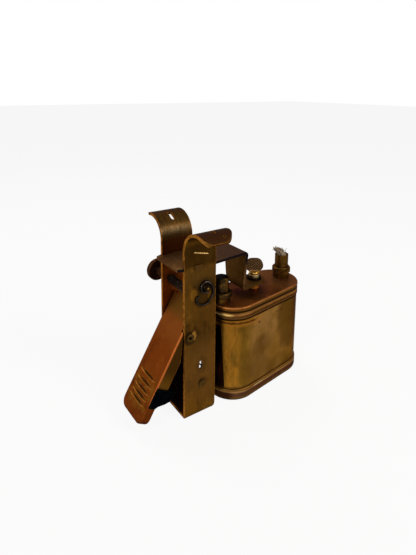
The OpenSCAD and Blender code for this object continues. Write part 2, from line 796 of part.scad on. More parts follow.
// Torsion spring: leg on the lever, close turns round the pin, leg down to the frame's slot
spring_wire_r = 0.45;
spring_r = pin_r + 0.4 + spring_wire_r;
spring_turns = 4;
spring_pitch = 1.5;
spring_rings = 8;
spring_sides = 6;
spring_y0 = 1.5;
spring_leg_len = 15;
spring_start_deg = 180 - lever_lean;
slot_dx = spring_slot_x - pin_x;
slot_dz = pin_z - spring_slot_z;
slot_far = sqrt(slot_dx * slot_dx + slot_dz * slot_dz);
spring_end_deg = atan(slot_dx / slot_dz) + asin(spring_r / slot_far) - 360 * spring_turns;
spring_span = spring_start_deg - spring_end_deg;
spring_steps = ceil(spring_span / 360 * spring_rings);
spring_tail_y = spring_y0 - spring_pitch * spring_span / 360;
spring_bend_r = 1.4;

function coil_point(i) = let (a = spring_start_deg - spring_span * i / spring_steps)
    [pin_x + spring_r * cos(a), spring_y0 - spring_pitch * spring_span / 360 * i / spring_steps,
        pin_z + spring_r * sin(a)];
leg_dir = unit([-sin(lever_lean), 0, -cos(lever_lean)]);
leg_out = [-cos(lever_lean), 0, sin(lever_lean)];
leg_rise = lever_n_in - pass_gap - spring_wire_r - spring_r;
leg_start = [for (k = [0:1]) coil_point(0) + leg_dir * spring_leg_len * (1 - k / 2)
    + leg_out * leg_rise * (1 - k / 2)];
slot_point = [spring_slot_x, spring_tail_y, spring_slot_z];
tail_dir = unit(slot_point - coil_point(spring_steps));
tail_bend = slot_point - tail_dir * spring_bend_r;
tail = [for (k = [0:3]) tail_bend
    + spring_bend_r * (sin(30 * k) * tail_dir + (cos(30 * k) - 1) * [0, 1, 0]),
    [spring_slot_x, -frame_half - pass_gap, spring_slot_z]];
spring_path = concat(leg_start, [for (i = [0:spring_steps]) coil_point(i)], tail);
echo(lever_spring_least_gap = least_gap([for (i = [0:spring_steps]) coil_point(i)], spring_rings / 2)
    - 2 * spring_wire_r);

module lever_spring() {
    color(STEEL) swept_tube(spring_path, spring_wire_r, spring_sides, [0, 1, 0]);
}

module flint_tube() {
    out_n = flint_tube_out_n;
    color(BRASS) on_lever() translate([-flint_up, 0, 0]) difference() {
        union() {
            translate([0, 0, flint_tube_in_n]) cylinder(h = out_n - flint_tube_in_n, r = flint_tube_r);
            translate([0, 0, lever_n_in - flint_tube_rim_t - fit_gap])
                cylinder(h = flint_tube_rim_t, r = flint_tube_rim_r);
        }
        translate([0, 0, flint_tube_in_n - cut_over])
            cylinder(h = out_n - flint_tube_in_n + 2 * cut_over, r = flint_r + run_gap);
    }
}

module flint() {
    color(STEEL) on_lever() translate([-flint_up, 0, flint_tip_n - flint_len])
        cylinder(h = flint_len, r = flint_r);
}

module flint_spring() {
    low = flint_tube_in_n + flint_screw_len + run_gap;
    high = flint_tip_n - flint_len - run_gap;
    color(STEEL) on_lever() translate([-flint_up, 0, low]) difference() {
        cylinder(h = high - low, r = flint_r - run_gap);
        translate([0, 0, -cut_over]) cylinder(h = high - low + 2 * cut_over, r = flint_r / 2);
    }
}

module flint_screw() {
    slot_w = 0.6;
    color(BRASS) on_lever() translate([-flint_up, 0, flint_tube_in_n]) difference() {
        union() {
            cylinder(h = flint_screw_len, r = flint_r + run_gap - fit_gap);
            translate([0, 0, -flint_head_t - fit_gap]) cylinder(h = flint_head_t, r = flint_tube_r);
            translate([0, 0, -2 * fit_gap]) cylinder(h = 3 * fit_gap, r = flint_r);
        }
        translate([0, 0, -flint_head_t - cut_over])
            cube([slot_w, 3 * flint_tube_r, 2 * cut_over + 0.1], center = true);
    }
}

// Striker

module along_striker(y) {
    translate([striker_x, y, striker_z]) rotate([-90, 0, 0]) children();
}

module striker_roller() {
    low = -inner_half + 2 * run_gap;
    len = 2 * inner_half - roller_rear_gap - 2 * run_gap;
    edge = 0.5;
    color(STEEL) along_striker(low) difference() {
        rotate_extrude() polygon([[0, 0], [roller_r - edge, 0], [roller_r, edge], [roller_r, len - edge],
            [roller_r - edge, len], [0, len]]);
        translate([0, 0, -cut_over]) cylinder(h = len + 2 * cut_over, r = shaft_r + fit_gap);
    }
}

module striker_shaft() {
    low = -inner_half - spigot_len + run_gap;
    color(STEEL) difference() {
        along_striker(low) cylinder(h = shaft_end_y - low, r = shaft_r);
        knob_pin_bore(knob_pin_r + fit_gap);
    }
}

module knob_pin_bore(r) {
    translate([striker_x, hub_y + hub_len / 2, striker_z]) rotate([0, 90, 0])
        cylinder(h = 2 * hub_r, r = r, center = true);
}

module striker_knob() {
    dish_r = knob_r - 1.3;
    dish = 0.5;
    color(BRASS) difference() {
        union() {
            along_striker(hub_y) cylinder(h = hub_len + knob_rim, r = hub_r);
            along_striker(knob_y) rotate_extrude()
                polygon([[0, 0], [knob_r - knob_rim, 0], [knob_r, knob_rim],
                    [knob_r, knob_t - knob_rim], [knob_r - knob_rim, knob_t], [dish_r, knob_t],
                    [dish_r - dish, knob_t - dish], [0, knob_t - dish]]);
        }
        along_striker(hub_y - cut_over)
            cylinder(h = shaft_end_y - hub_y + cut_over + run_gap, r = shaft_r + fit_gap);
        translate([-cut_over / 2, 0, 0]) knob_pin_bore(knob_pin_r + fit_gap);
        translate([cut_over / 2, 0, 0]) knob_pin_bore(knob_pin_r + fit_gap);
    }
}

module knob_pin() {
    color(STEEL) knob_pin_bore(knob_pin_r);
}

// Keeper on the front upright

module keeper_stud() {
    low = -inner_half + stud_nut_t + 2 * fit_gap;
    high_y = wire_y - keeper_wire_d / 2 - pass_gap;
    color(BRASS) translate([stud_x, 0, stud_z]) rotate([90, 0, 0]) {
        translate([0, 0, -low]) cylinder(h = low - high_y, r = stud_r);
        translate([0, 0, -high_y]) cylinder(h = stud_head_t, r1 = stud_head_r, r2 = stud_head_r - 0.5);
    }
}

module keeper_nut() {
    color(BRASS) translate([stud_x, -inner_half + fit_gap, stud_z]) rotate([-90, 0, 0]) difference() {
        cylinder(h = stud_nut_t, d = stud_nut_across, $fn = 6);
        translate([0, 0, -cut_over]) cylinder(h = stud_nut_t + 2 * cut_over, r = stud_r + fit_gap);
    }
}

// The wire winds out from the stud, passes over it, and runs on into an open hook below
keeper_first_r = stud_r + 0.15 + keeper_wire_d / 2;
keeper_loop_steps = 24;
keeper_hook_steps = 16;
keeper_curl_steps = 6;
keeper_from_deg = 350;
keeper_join_deg = 45;
keeper_curl_r = 1.1;

function grow(t) = min(1, t / 0.5);
function keeper_loop_point(i) = let (t = i / keeper_loop_steps,
    a = lerp(keeper_from_deg, keeper_join_deg, t),
    r = lerp(keeper_first_r, keeper_loop_r, grow(t) * grow(t) * (3 - 2 * grow(t))))
    [stud_x + r * cos(a), wire_y, stud_z + r * sin(a)];
keeper_join = keeper_loop_point(keeper_loop_steps);
hook_from_deg = atan2(keeper_join[2] - hook_z, keeper_join[0] - hook_x);
hook_from_r = norm([keeper_join[0] - hook_x, keeper_join[2] - hook_z]);
hook_to_deg = -166;
function keeper_hook_point(i) = let (t = i / keeper_hook_steps, a = lerp(hook_from_deg, hook_to_deg, t),
    r = lerp(hook_from_r, keeper_hook_r, min(1, 2.6 * t)))
    [hook_x + r * cos(a), wire_y, hook_z + r * sin(a)];
hook_end = keeper_hook_point(keeper_hook_steps);
curl_mid = hook_end - keeper_curl_r * [cos(hook_to_deg), 0, sin(hook_to_deg)];
function keeper_curl_point(i) = let (a = hook_to_deg - 150 * i / keeper_curl_steps)
    curl_mid + keeper_curl_r * [cos(a), 0, sin(a)];
keeper_path = concat([for (i = [0:keeper_loop_steps]) keeper_loop_point(i)],
    [for (i = [1:keeper_hook_steps]) keeper_hook_point(i)],
    [for (i = [1:keeper_curl_steps]) keeper_curl_point(i)]);
echo(keeper_wire_least_gap = least_gap(keeper_path, keeper_loop_steps / 3) - keeper_wire_d);

module keeper_wire() {
    color(STEEL) swept_tube(keeper_path, keeper_wire_d / 2, spring_sides, [0, 1, 0]);
}

// Tank

module tank_body() {
    color(BRASS) on_shell() translate([0, 0, base_t + pan_gap])
        linear_extrude(wall_top - base_t - 2 * pan_gap) difference() {
            stadium(tank_s, wall_r);
            stadium(tank_s, wall_r - tank_wall);
        }
}

module base_profile() {
    difference() {
        union() {
            square([base_r - base_edge_r, base_h]);
            translate([0, base_edge_r]) square([base_r, base_h - base_edge_r - base_top_edge_r]);
            translate([0, base_edge_r]) square([base_r - base_top_edge_r, base_h - base_edge_r]);
            translate([base_r - base_edge_r, base_edge_r]) intersection() {
                circle(r = base_edge_r);
                translate([0, -base_edge_r]) square(base_edge_r);
            }
            translate([base_r - base_top_edge_r, base_h - base_top_edge_r]) circle(r = base_top_edge_r);
        }
        translate([-1, base_t]) square([1 + wall_r + pan_gap, base_h]);
    }
}

module tank_base() {
    color(COPPER) on_shell() tank_sweep() base_profile();
}

module lid_profile() {
    lip_low = tank_h - lid_lip_h;
    difference() {
        union() {
            translate([0, lip_low]) square([lid_r - lid_edge_r, lid_lip_h]);
            translate([0, lip_low]) square([lid_r, lid_lip_h - lid_edge_r]);
            translate([lid_r - lid_edge_r, tank_h - lid_edge_r]) intersection() {
                circle(r = lid_edge_r);
                square(lid_edge_r);
            }
            translate([0, lid_low]) square([lid_r - lid_cove, lid_rim_h - lid_edge_r]);
            translate([lid_r - lid_bead_r, bead_z]) circle(r = lid_bead_r);
            translate([0, lid_low]) square([lid_r - fit_gap, wall_top - lid_low]);
        }
        translate([-1, lid_low - 1]) square([1 + wall_r + pan_gap, 1 + wall_top - lid_low + pan_gap]);
        translate([-1, lid_low]) square([1 + wall_r - tank_wall, tank_h - lid_t - lid_low]);
    }
}

module tank_lid() {
    color(COPPER) difference() {
        on_shell() tank_sweep() lid_profile();
        on_tank() translate([-filler_reach, 0, lid_low]) cylinder(h = 2 * lid_rim_h, r = pipe_r + fit_gap);
        on_tank() translate([wick_reach, 0, lid_low]) cylinder(h = 2 * lid_rim_h, r = tube_r + fit_gap);
    }
}

module tank_packing() {
    low = base_t + packing_gap;
    high = lid_low - 1;
    color([0.8, 0.76, 0.66]) difference() {
        on_shell() translate([0, 0, low]) linear_extrude(high - low)
            stadium(tank_s, wall_r - tank_wall - packing_gap);
        on_tank() translate([wick_reach, 0, well_floor]) cylinder(h = high, r = well_r);
    }
}

// Clamp

module clamp_boss() {
    color(BRASS) on_tank() translate([0, 0, tank_h + fit_gap]) difference() {
        cylinder(h = boss_h - fit_gap, r = boss_r);
        translate([0, 0, screw_low - tank_h - 2 * run_gap]) cylinder(h = boss_h, r = shank_r + run_gap);
    }
}

module clamp_washer() {
    color(STEEL) translate([screw_x, 0, washer_low]) difference() {
        cylinder(h = washer_t, r = washer_r);
        translate([0, 0, -cut_over]) cylinder(h = washer_t + 2 * cut_over, r = shank_r + run_gap);
    }
}

module clamp_screw() {
    head_r = head_h / 2;
    collar_edge = 0.4;
    ring_z = shoulder_z + collar_h;
    color(STEEL) translate([screw_x, 0, 0]) {
        translate([0, 0, screw_low]) cylinder(h = shoulder_z - screw_low + run_gap, r = shank_r);
        translate([0, 0, shoulder_z]) rotate_extrude() polygon([[0, 0], [collar_rim_r, 0],
            [collar_rim_r, collar_h - collar_edge], [collar_rim_r - collar_edge, collar_h], [0, collar_h]]);
        translate([0, 0, ring_z]) cylinder(h = bead_ring_h, r = bead_ring_r - bead_ring_h / 2);
        translate([0, 0, ring_z + bead_ring_h / 2]) rotate_extrude()
            translate([bead_ring_r - bead_ring_h / 2, 0]) circle(d = bead_ring_h);
        translate([0, 0, head_z + head_r - head_sink]) rotate([90, 0, head_turn])
            linear_extrude(head_t, center = true) stadium(head_w / 2 - head_r, head_r);
    }
}

// Tubes on the lid

module filler_neck() {
    color(BRASS) on_tank() translate([-filler_reach, 0, 0]) difference() {
        union() {
            translate([0, 0, tank_h + fit_gap]) cylinder(h = neck_h - fit_gap, r = neck_r);
            translate([0, 0, pipe_low]) cylinder(h = pipe_top - pipe_low, r = pipe_r);
        }
        translate([0, 0, pipe_low - cut_over]) cylinder(h = tube_z, r = pipe_bore_r);
    }
}

module filler_gasket() {
    color(BLACK) on_tank() translate([-filler_reach, 0, pipe_top + fit_gap]) difference() {
        cylinder(h = gasket_t, r = pipe_r);
        translate([0, 0, -cut_over]) cylinder(h = gasket_t + 2 * cut_over, r = pipe_bore_r);
    }
}

module filler_cap() {
    edge = 0.5;
    inside_top = pipe_top + gasket_t + 2 * fit_gap;
    color(BRASS) on_tank() translate([-filler_reach, 0, 0]) difference() {
        rotate_extrude() polygon([[0, nut_low], [collar_r - edge, nut_low], [collar_r, nut_low + edge],
            [collar_r, nut_top - 2 * edge], [collar_r - edge, nut_top - edge], [tube_r, nut_top - edge],
            [tube_r, tube_z - edge], [tube_r - edge, tube_z], [0, tube_z]]);
        translate([0, 0, nut_low - cut_over])
            cylinder(h = inside_top - nut_low + cut_over, r = pipe_r + run_gap);
    }
}

module wick_neck() {
    color(BRASS) on_tank() translate([wick_reach, 0, tank_h + fit_gap]) difference() {
        cylinder(h = neck_h - fit_gap, r = neck_r);
        translate([0, 0, -cut_over]) cylinder(h = neck_h + 2 * cut_over, r = tube_r + fit_gap);
    }
}

module wick_nut() {
    color(BRASS) on_tank() translate([wick_reach, 0, nut_low]) difference() {
        intersection() {
            cylinder(h = nut_h, d = nut_across, $fn = 6);
            rotate_extrude() polygon([[0, 0], [nut_across / 2 - nut_turned, 0],
                [nut_across / 2 - nut_turned, nut_h - nut_bevel],
                [nut_across / 2 - nut_turned - nut_bevel, nut_h], [0, nut_h]]);
        }
        translate([0, 0, -cut_over]) cylinder(h = nut_h + 2 * cut_over, r = tube_r + fit_gap);
    }
}

module wick_tube() {
    color(BRASS) on_tank() translate([wick_reach, 0, wick_tube_low]) difference() {
        cylinder(h = tube_z - wick_tube_low, r = tube_r);
        translate([0, 0, -cut_over]) cylinder(h = tube_z + cut_over, r = tube_r - wick_tube_wall);
    }
}

module wick() {
    tip_r = 2.2;
    color([0.75, 0.7, 0.6]) on_tank() translate([wick_reach, 0, 0]) {
        translate([0, 0, wick_low]) cylinder(h = tube_z - wick_low + 0.5, r = wick_r);
        hull() {
            translate([0, 0, tube_z + 0.1]) cylinder(h = 1, r = wick_r, $fn = 24);
            translate([-wick_lean, 0, tube_z + wick_out - tip_r]) sphere(r = tip_r, $fn = 24);
            translate([0.4, 0, tube_z + wick_out - tip_r - 1]) sphere(r = tip_r, $fn = 24);
        }
    }
}

frame();
bracket();
spacer_block();
spacer_rivet();
pivot_pin();
pivot_washers();
lever();
bumper_block();
lever_spring();
flint_tube();
flint();
flint_spring();
flint_screw();
striker_roller();
striker_shaft();
striker_knob();
knob_pin();
keeper_stud();
keeper_nut();
keeper_wire();
tank_body();
tank_base();
tank_lid();
tank_packing();
clamp_boss();
clamp_washer();
clamp_screw();
filler_neck();
filler_gasket();
filler_cap();
wick_neck();
wick_nut();
wick_tube();
wick();
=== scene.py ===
import math
import random

import bpy
from mathutils import Matrix, Vector


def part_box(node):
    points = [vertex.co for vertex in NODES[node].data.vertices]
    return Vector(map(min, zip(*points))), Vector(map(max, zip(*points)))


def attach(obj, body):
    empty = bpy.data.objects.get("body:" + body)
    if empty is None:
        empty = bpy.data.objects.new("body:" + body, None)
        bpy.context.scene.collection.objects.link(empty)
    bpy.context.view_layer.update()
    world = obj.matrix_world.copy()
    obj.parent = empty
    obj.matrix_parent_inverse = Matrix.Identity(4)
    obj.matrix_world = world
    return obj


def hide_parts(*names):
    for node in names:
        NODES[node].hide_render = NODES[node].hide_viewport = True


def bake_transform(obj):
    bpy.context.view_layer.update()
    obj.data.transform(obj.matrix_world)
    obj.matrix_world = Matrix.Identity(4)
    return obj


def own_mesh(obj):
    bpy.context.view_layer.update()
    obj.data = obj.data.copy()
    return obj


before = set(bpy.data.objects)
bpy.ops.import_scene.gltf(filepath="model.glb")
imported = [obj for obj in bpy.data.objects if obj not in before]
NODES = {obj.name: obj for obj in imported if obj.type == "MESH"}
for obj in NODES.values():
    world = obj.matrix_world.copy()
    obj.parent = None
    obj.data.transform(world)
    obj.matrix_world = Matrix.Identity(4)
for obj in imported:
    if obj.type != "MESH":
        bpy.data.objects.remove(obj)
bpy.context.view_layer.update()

SCENE = bpy.context.scene
MM = 0.001
TURN = 2 * math.pi
X, Y, Z = 0, 1, 2


# ---------------------------------------------------------------- places on the object, in metres

FRONT_Y = -0.0122       # the strip's front face
INNER_Y = 0.01085       # the uprights' inner faces, on both sides

LEAN = math.radians(30.5)                                   # of the open lever
WEB = Vector((-math.cos(LEAN), 0, math.sin(LEAN)))          # square to the lever's web, outwards
DOWN = Vector((-math.sin(LEAN), 0, -math.cos(LEAN)))        # along the lever, downwards
PIN = Vector((-0.0063, 0, 0.0461))                          # the lever's pin

TANK_YAW = math.radians(8)
ALONG = Vector((math.cos(TANK_YAW), math.sin(TANK_YAW), 0))
ACROSS = Vector((-math.sin(TANK_YAW), math.cos(TANK_YAW), 0))
TANK_MID = Vector((0.0455, 0, 0))


# ---------------------------------------------------------------- node trees

def lin(rgb):
    """sRGB values from 0 to 255 as a linear colour."""
    def one(c):
        c /= 255
        return c / 12.92 if c <= 0.04045 else ((c + 0.055) / 1.055) ** 2.4
    return (*[one(c) for c in rgb], 1.0)


class Nodes:
    """Short way to write a material's node tree. A mask is a value from 0 to 1."""

    RIM_IN, RIM_OUT = 1.15, 1.65            # where a stain's rim starts and ends, in radii
    METAL_TINT = (0.35, 0.32, 0.28, 1.0)    # how much of the white world a metal's rim mirrors

    def __init__(self, name):
        self.mat = bpy.data.materials.new(name)
        self.mat.use_nodes = True
        self.tree = self.mat.node_tree
        self.bsdf = self.tree.nodes["Principled BSDF"]
        tex = self.tree.nodes.new("ShaderNodeTexCoord")
        self.coord, self.normal = tex.outputs["Object"], tex.outputs["Normal"]

    def put(self, socket, value):
        if hasattr(value, "is_output"):
            self.tree.links.new(value, socket)
        else:
            socket.default_value = value

    def node(self, kind, inputs, **props):
        n = self.tree.nodes.new(kind)
        for k, v in props.items():
            setattr(n, k, v)
        for k, v in inputs.items():
            self.put(n.inputs[k], v)
        return n

    def math(self, op, *values):
        return self.node("ShaderNodeMath", dict(enumerate(values)), operation=op).outputs[0]

    def vector_math(self, op, *values):
        return self.node("ShaderNodeVectorMath", dict(enumerate(values)), operation=op).outputs

    def both(self, *masks):
        """1 where every mask is 1."""
        out = masks[0]
        for mask in masks[1:]:
            out = self.math("MULTIPLY", out, mask)
        return out

    def either(self, a, b):
        return self.math("MAXIMUM", a, b)

    def ramp(self, value, lo, hi, a=0.0, b=1.0):
        """Value from lo..hi to a..b, clamped and smooth."""
        ins = {"Value": value, "From Min": lo, "From Max": hi, "To Min": a, "To Max": b}
        return self.node("ShaderNodeMapRange", ins, interpolation_type="SMOOTHSTEP").outputs[0]

    def stretched(self, scale):
        return self.node("ShaderNodeMapping", {"Vector": self.coord, "Scale": scale}).outputs[0]

    def noise(self, scale, detail=4.0, rough=0.55, vector=None, distort=0.0):
        ins = {"Vector": vector or self.coord, "Scale": scale, "Detail": detail,
               "Roughness": rough, "Distortion": distort}
        return self.node("ShaderNodeTexNoise", ins).outputs["Fac"]

    def patches(self, scale, detail, lo, hi, a=0.0, b=1.0, rough=0.55, vector=None):
        """Cloudy patches: noise from lo..hi to a..b."""
        return self.ramp(self.noise(scale, detail, rough, vector), lo, hi, a, b)

    def cells(self, scale):
        ins = {"Vector": self.coord, "Scale": scale}
        return self.node("ShaderNodeTexVoronoi", ins).outputs["Distance"]

    def axis(self, i, source=None):
        """Component i of the object coordinate, or of source."""
        return self.node("ShaderNodeSeparateXYZ", {"Vector": source or self.coord}).outputs[i]

    def along(self, direction, source=None):
        """Part of the object coordinate, or of source, along a direction."""
        return self.vector_math("DOT_PRODUCT", source or self.coord, direction)["Value"]

    def past(self, i, start, end):
        """0 to 1 as coordinate i goes from start to end, up or down."""
        return self.ramp(self.axis(i), start, end)

    def facing(self, i, start, end):
        """0 to 1 as component i of the object's own normal goes from start to end."""
        return self.ramp(self.axis(i, self.normal), start, end)

    def cheeks(self, start, end):
        """1 on faces that look to the front or to the rear."""
        return self.either(self.facing(Y, start, end), self.facing(Y, -start, -end))

    def band(self, i, lo, hi, soft=0.0004, wave=0.0, wave_scale=160):
        """1 where coordinate i lies from lo to hi, with soft and wavy ends."""
        v = self.axis(i)
        if wave:
            uneven = self.math("SUBTRACT", self.noise(wave_scale, 4), 0.5)
            v = self.math("MULTIPLY_ADD", uneven, wave, v)
        return self.both(self.ramp(v, lo - soft, lo + soft), self.ramp(v, hi - soft, hi + soft, 1, 0))

    def near(self, point, radius, stretch=(1, 1, 1)):
        """1 close to a point of the object, 0 further off, with an uneven rim."""
        v = self.vector_math("SUBTRACT", self.coord, point)[0]
        v = self.vector_math("MULTIPLY", v, stretch)[0]
        d = self.vector_math("LENGTH", v)["Value"]
        d = self.math("MULTIPLY_ADD", self.noise(1.3 / radius, 3), radius * 0.8, d)
        return self.ramp(d, radius * self.RIM_IN, radius * self.RIM_OUT, 1.0, 0.0)

    def nook(self, reach, deep=0.25, clear=0.85):
        """1 in corners and narrow gaps, 0 in the open."""
        ao = self.node("ShaderNodeAmbientOcclusion", {"Distance": reach}, samples=6)
        return self.ramp(ao.outputs["AO"], deep, clear, 1.0, 0.0)

    def edges(self, radius):
        """1 on convex and concave edges, 0 on flat faces."""
        rounded = self.node("ShaderNodeBevel", {"Radius": radius}, samples=6).outputs[0]
        flat = self.tree.nodes.new("ShaderNodeNewGeometry").outputs["Normal"]
        return self.ramp(self.vector_math("DOT_PRODUCT", rounded, flat)["Value"], 0.995, 0.86)

    def mix(self, f, a, b):
        n = self.node("ShaderNodeMix", {}, data_type="RGBA")
        for socket, value in (("Factor", f), ("A", a), ("B", b)):
            self.put(n.inputs[socket], value)
        return n.outputs["Result"]

    def tint(self, c, mask, colour, amount):
        return self.mix(mask if amount == 1.0 else self.both(mask, amount), c, lin(colour))

    def coats(self, c, *rows):
        """Rows of mask, colour and amount, painted over c one after the other."""
        for mask, colour, amount in rows:
            c = self.tint(c, mask, colour, amount)
        return c

    def spots(self, c, rows):
        """Stains at points of the object: point, radius, colour, amount and stretch."""
        for point, radius, colour, amount, *stretch in rows:
            c = self.tint(c, self.near(point, radius, *stretch), colour, amount)
        return c

    def bump(self, height, distance, strength, normal=None):
        ins = {"Height": height, "Distance": distance, "Strength": strength}
        if normal is not None:
            ins["Normal"] = normal
        return self.node("ShaderNodeBump", ins).outputs[0]

    def done(self, colour, rough, metallic, normal, specular=0.5):
        ins = {"Base Color": colour, "Roughness": rough, "Metallic": metallic, "Normal": normal,
               "Specular IOR Level": specular}
        if metallic > 0.5:
            ins["Specular Tint"] = self.METAL_TINT
        for socket, value in ins.items():
            self.put(self.bsdf.inputs[socket], value)
        return self.mat


# ---------------------------------------------------------------- meshes

def link(name, data):
    ob = bpy.data.objects.new(name, data)
    SCENE.collection.objects.link(ob)
    return ob


def mesh_piece(name, verts, faces, mat, smooth=True):
    me = bpy.data.meshes.new(name)
    me.from_pydata([tuple(v) for v in verts], [], faces)
    me.update()
    if smooth:
        me.polygons.foreach_set("use_smooth", [True] * len(me.polygons))
    me.materials.append(mat)
    return link(name, me)


def tube_mesh(points, radius, sides):
    """Vertices and faces of a closed tube along points. radius is a number or one per point."""
    pts = [Vector(p) for p in points]
    last = len(pts) - 1
    radii = radius if isinstance(radius, list) else [radius] * len(pts)
    dirs = [(pts[min(last, i + 1)] - pts[max(0, i - 1)]).normalized() for i in range(len(pts))]
    u = dirs[0].orthogonal().normalized()
    verts, faces = [], []
    for p, d, r in zip(pts, dirs, radii):
        u = (u - d * u.dot(d)).normalized()
        v = d.cross(u)
        for k in range(sides):
            a = TURN * k / sides
            verts.append(p + (u * math.cos(a) + v * math.sin(a)) * r)
    for i in range(last):
        for k in range(sides):
            a, b = i * sides + k, i * sides + (k + 1) % sides
            faces.append((a, b, b + sides, a + sides))
    faces.append(tuple(range(sides - 1, -1, -1)))
    faces.append(tuple(last * sides + k for k in range(sides)))
    return verts, faces


def joined(parts):
    verts, faces = [], []
    for v, f in parts:
        base = len(verts)
        verts += v
        faces += [tuple(i + base for i in q) for q in f]
    return verts, faces


def smooth_path(points, steps):
    """Catmull-Rom curve through the points."""
    p = [Vector(q) for q in points]
    last = len(p) - 1
    out = []
    for i in range(last):
        a, b, c, d = p[max(i - 1, 0)], p[i], p[i + 1], p[min(i + 2, last)]
        for s in range(steps):
            t = s / steps
            out.append(0.5 * ((2 * b) + (c - a) * t + (2 * a - 5 * b + 4 * c - d) * t * t
                              + (3 * b - a - 3 * c + d) * t ** 3))
    out.append(p[-1])
    return out


# ---------------------------------------------------------------- camera, fitted to the photo

CAMERA_TURN = (-34.296, -11.386, 0.458)             # yaw, pitch and roll in degrees
CAMERA_AT = (-0.117241, -0.189933, 0.171972)
PHOTO_LONG = 555                                    # pixels on the photo's long side
FOCAL, SHIFT_Y = 451.038, -100                      # pixels
SENSOR = 36                                         # mm

yaw, pitch, roll = (math.radians(a) for a in CAMERA_TURN)
ahead = Vector((-math.sin(yaw) * math.cos(pitch), math.cos(yaw) * math.cos(pitch), math.sin(pitch)))
level = Vector((math.cos(yaw), math.sin(yaw), 0))
above = level.cross(ahead)
right = level * math.cos(roll) + above * math.sin(roll)
up = above * math.cos(roll) - level * math.sin(roll)

cam_data = bpy.data.cameras.new("camera")
cam_data.sensor_fit = "AUTO"
cam_data.sensor_width = SENSOR
cam_data.lens = FOCAL * SENSOR / PHOTO_LONG
cam_data.shift_y = SHIFT_Y / PHOTO_LONG
cam_data.clip_start, cam_data.clip_end = 0.01, 20
cam = link("camera", cam_data)
rows = [(right[i], up[i], -ahead[i], CAMERA_AT[i]) for i in range(3)]
cam.matrix_world = Matrix(rows + [(0, 0, 0, 1)])
SCENE.camera = cam


# ---------------------------------------------------------------- light, white world and floor

LIGHT_AIM = Vector((0.02, 0, 0.05))
LIGHTS = [("key", (0.30, -0.55, 0.50), 0.28, 3.6, (1.0, 0.97, 0.92)),       # place, size, power, colour
          ("fill_left", (-0.62, -0.22, 0.40), 0.35, 2.0, (1, 1, 1)),
          ("top_back", (0.05, 0.45, 0.60), 0.40, 1.6, (1, 1, 1))]
WHITE = (1, 1, 1, 1)
WORLD_LIGHT, WORLD_SEEN = 0.35, 1.0     # the world's strength as light, and as it is seen
FLOOR_GREY = (0.62, 0.62, 0.62, 1)
FLOOR_GLOW = 0.90                       # share of white glow in the floor as it is seen
FLOOR_HALF, FLOOR_Z = 4.0, -2e-5

for name, place, size, power, colour in LIGHTS:
    lamp = bpy.data.lights.new(name, "AREA")
    lamp.shape, lamp.size, lamp.energy, lamp.color = "DISK", size, power, colour
    ob = link(name, lamp)
    ob.location = place
    ob.rotation_mode = "QUATERNION"
    ob.rotation_quaternion = (LIGHT_AIM - Vector(place)).to_track_quat("-Z", "Y")


def emptied(owner):
    """The cleared node tree of a world or material."""
    owner.use_nodes = True
    owner.node_tree.nodes.clear()
    return owner.node_tree


def math_node(tree, op, a, b):
    n = tree.nodes.new("ShaderNodeMath")
    n.operation = op
    for socket, value in zip(n.inputs, (a, b)):
        if hasattr(value, "is_output"):
            tree.links.new(value, socket)
        else:
            socket.default_value = value
    return n.outputs[0]


def seen(tree):
    """1 for camera, glossy and transmission rays."""
    path = tree.nodes.new("ShaderNodeLightPath").outputs
    shown = math_node(tree, "MAXIMUM", path["Is Camera Ray"], path["Is Glossy Ray"])
    return math_node(tree, "MAXIMUM", shown, path["Is Transmission Ray"])


def shader(tree, kind, **values):
    n = tree.nodes.new(kind)
    for socket, value in values.items():
        n.inputs[socket].default_value = value
    return n.outputs[0]


def blend_out(tree, factor, hidden, shown, output):
    """Two shaders, mixed by factor, go to the output node."""
    mix = tree.nodes.new("ShaderNodeMixShader")
    for socket, value in zip(mix.inputs, (factor, hidden, shown)):
        tree.links.new(value, socket)
    tree.links.new(mix.outputs[0], tree.nodes.new(output).inputs["Surface"])


SCENE.world = bpy.data.worlds.new("world")
wt = emptied(SCENE.world)
blend_out(wt, seen(wt),
          shader(wt, "ShaderNodeBackground", Color=WHITE, Strength=WORLD_LIGHT),
          shader(wt, "ShaderNodeBackground", Color=WHITE, Strength=WORLD_SEEN), "ShaderNodeOutputWorld")

floor_mat = bpy.data.materials.new("floor")
ft = emptied(floor_mat)
blend_out(ft, math_node(ft, "MULTIPLY", seen(ft), FLOOR_GLOW),
          shader(ft, "ShaderNodeBsdfDiffuse", Color=FLOOR_GREY),
          shader(ft, "ShaderNodeEmission", Strength=1.0), "ShaderNodeOutputMaterial")
corners = [(x * FLOOR_HALF, y * FLOOR_HALF, FLOOR_Z) for x, y in ((-1, -1), (1, -1), (1, 1), (-1, 1))]
floor = mesh_piece("floor", corners, [(0, 1, 2, 3)], floor_mat, smooth=False)


# ---------------------------------------------------------------- old metal

# Noise scales for size 1, per metre: clouds, streaks, mottling, pits and where they are, wear, waves.
CLOUDS, STREAKS, MOTTLE, PITS, PIT_AREAS, WEAR, WAVES = 55, 260, 1500, 700, 120, 420, 240
WAVE_DEPTH, RELIEF_DEPTH = 0.00012, 0.00030             # metres
PIT_SHADE, DIRT_AND_SHADE_TONE = 0.35, 0.30                      # parts of the dark colour
PIT_AMOUNT = 0.6


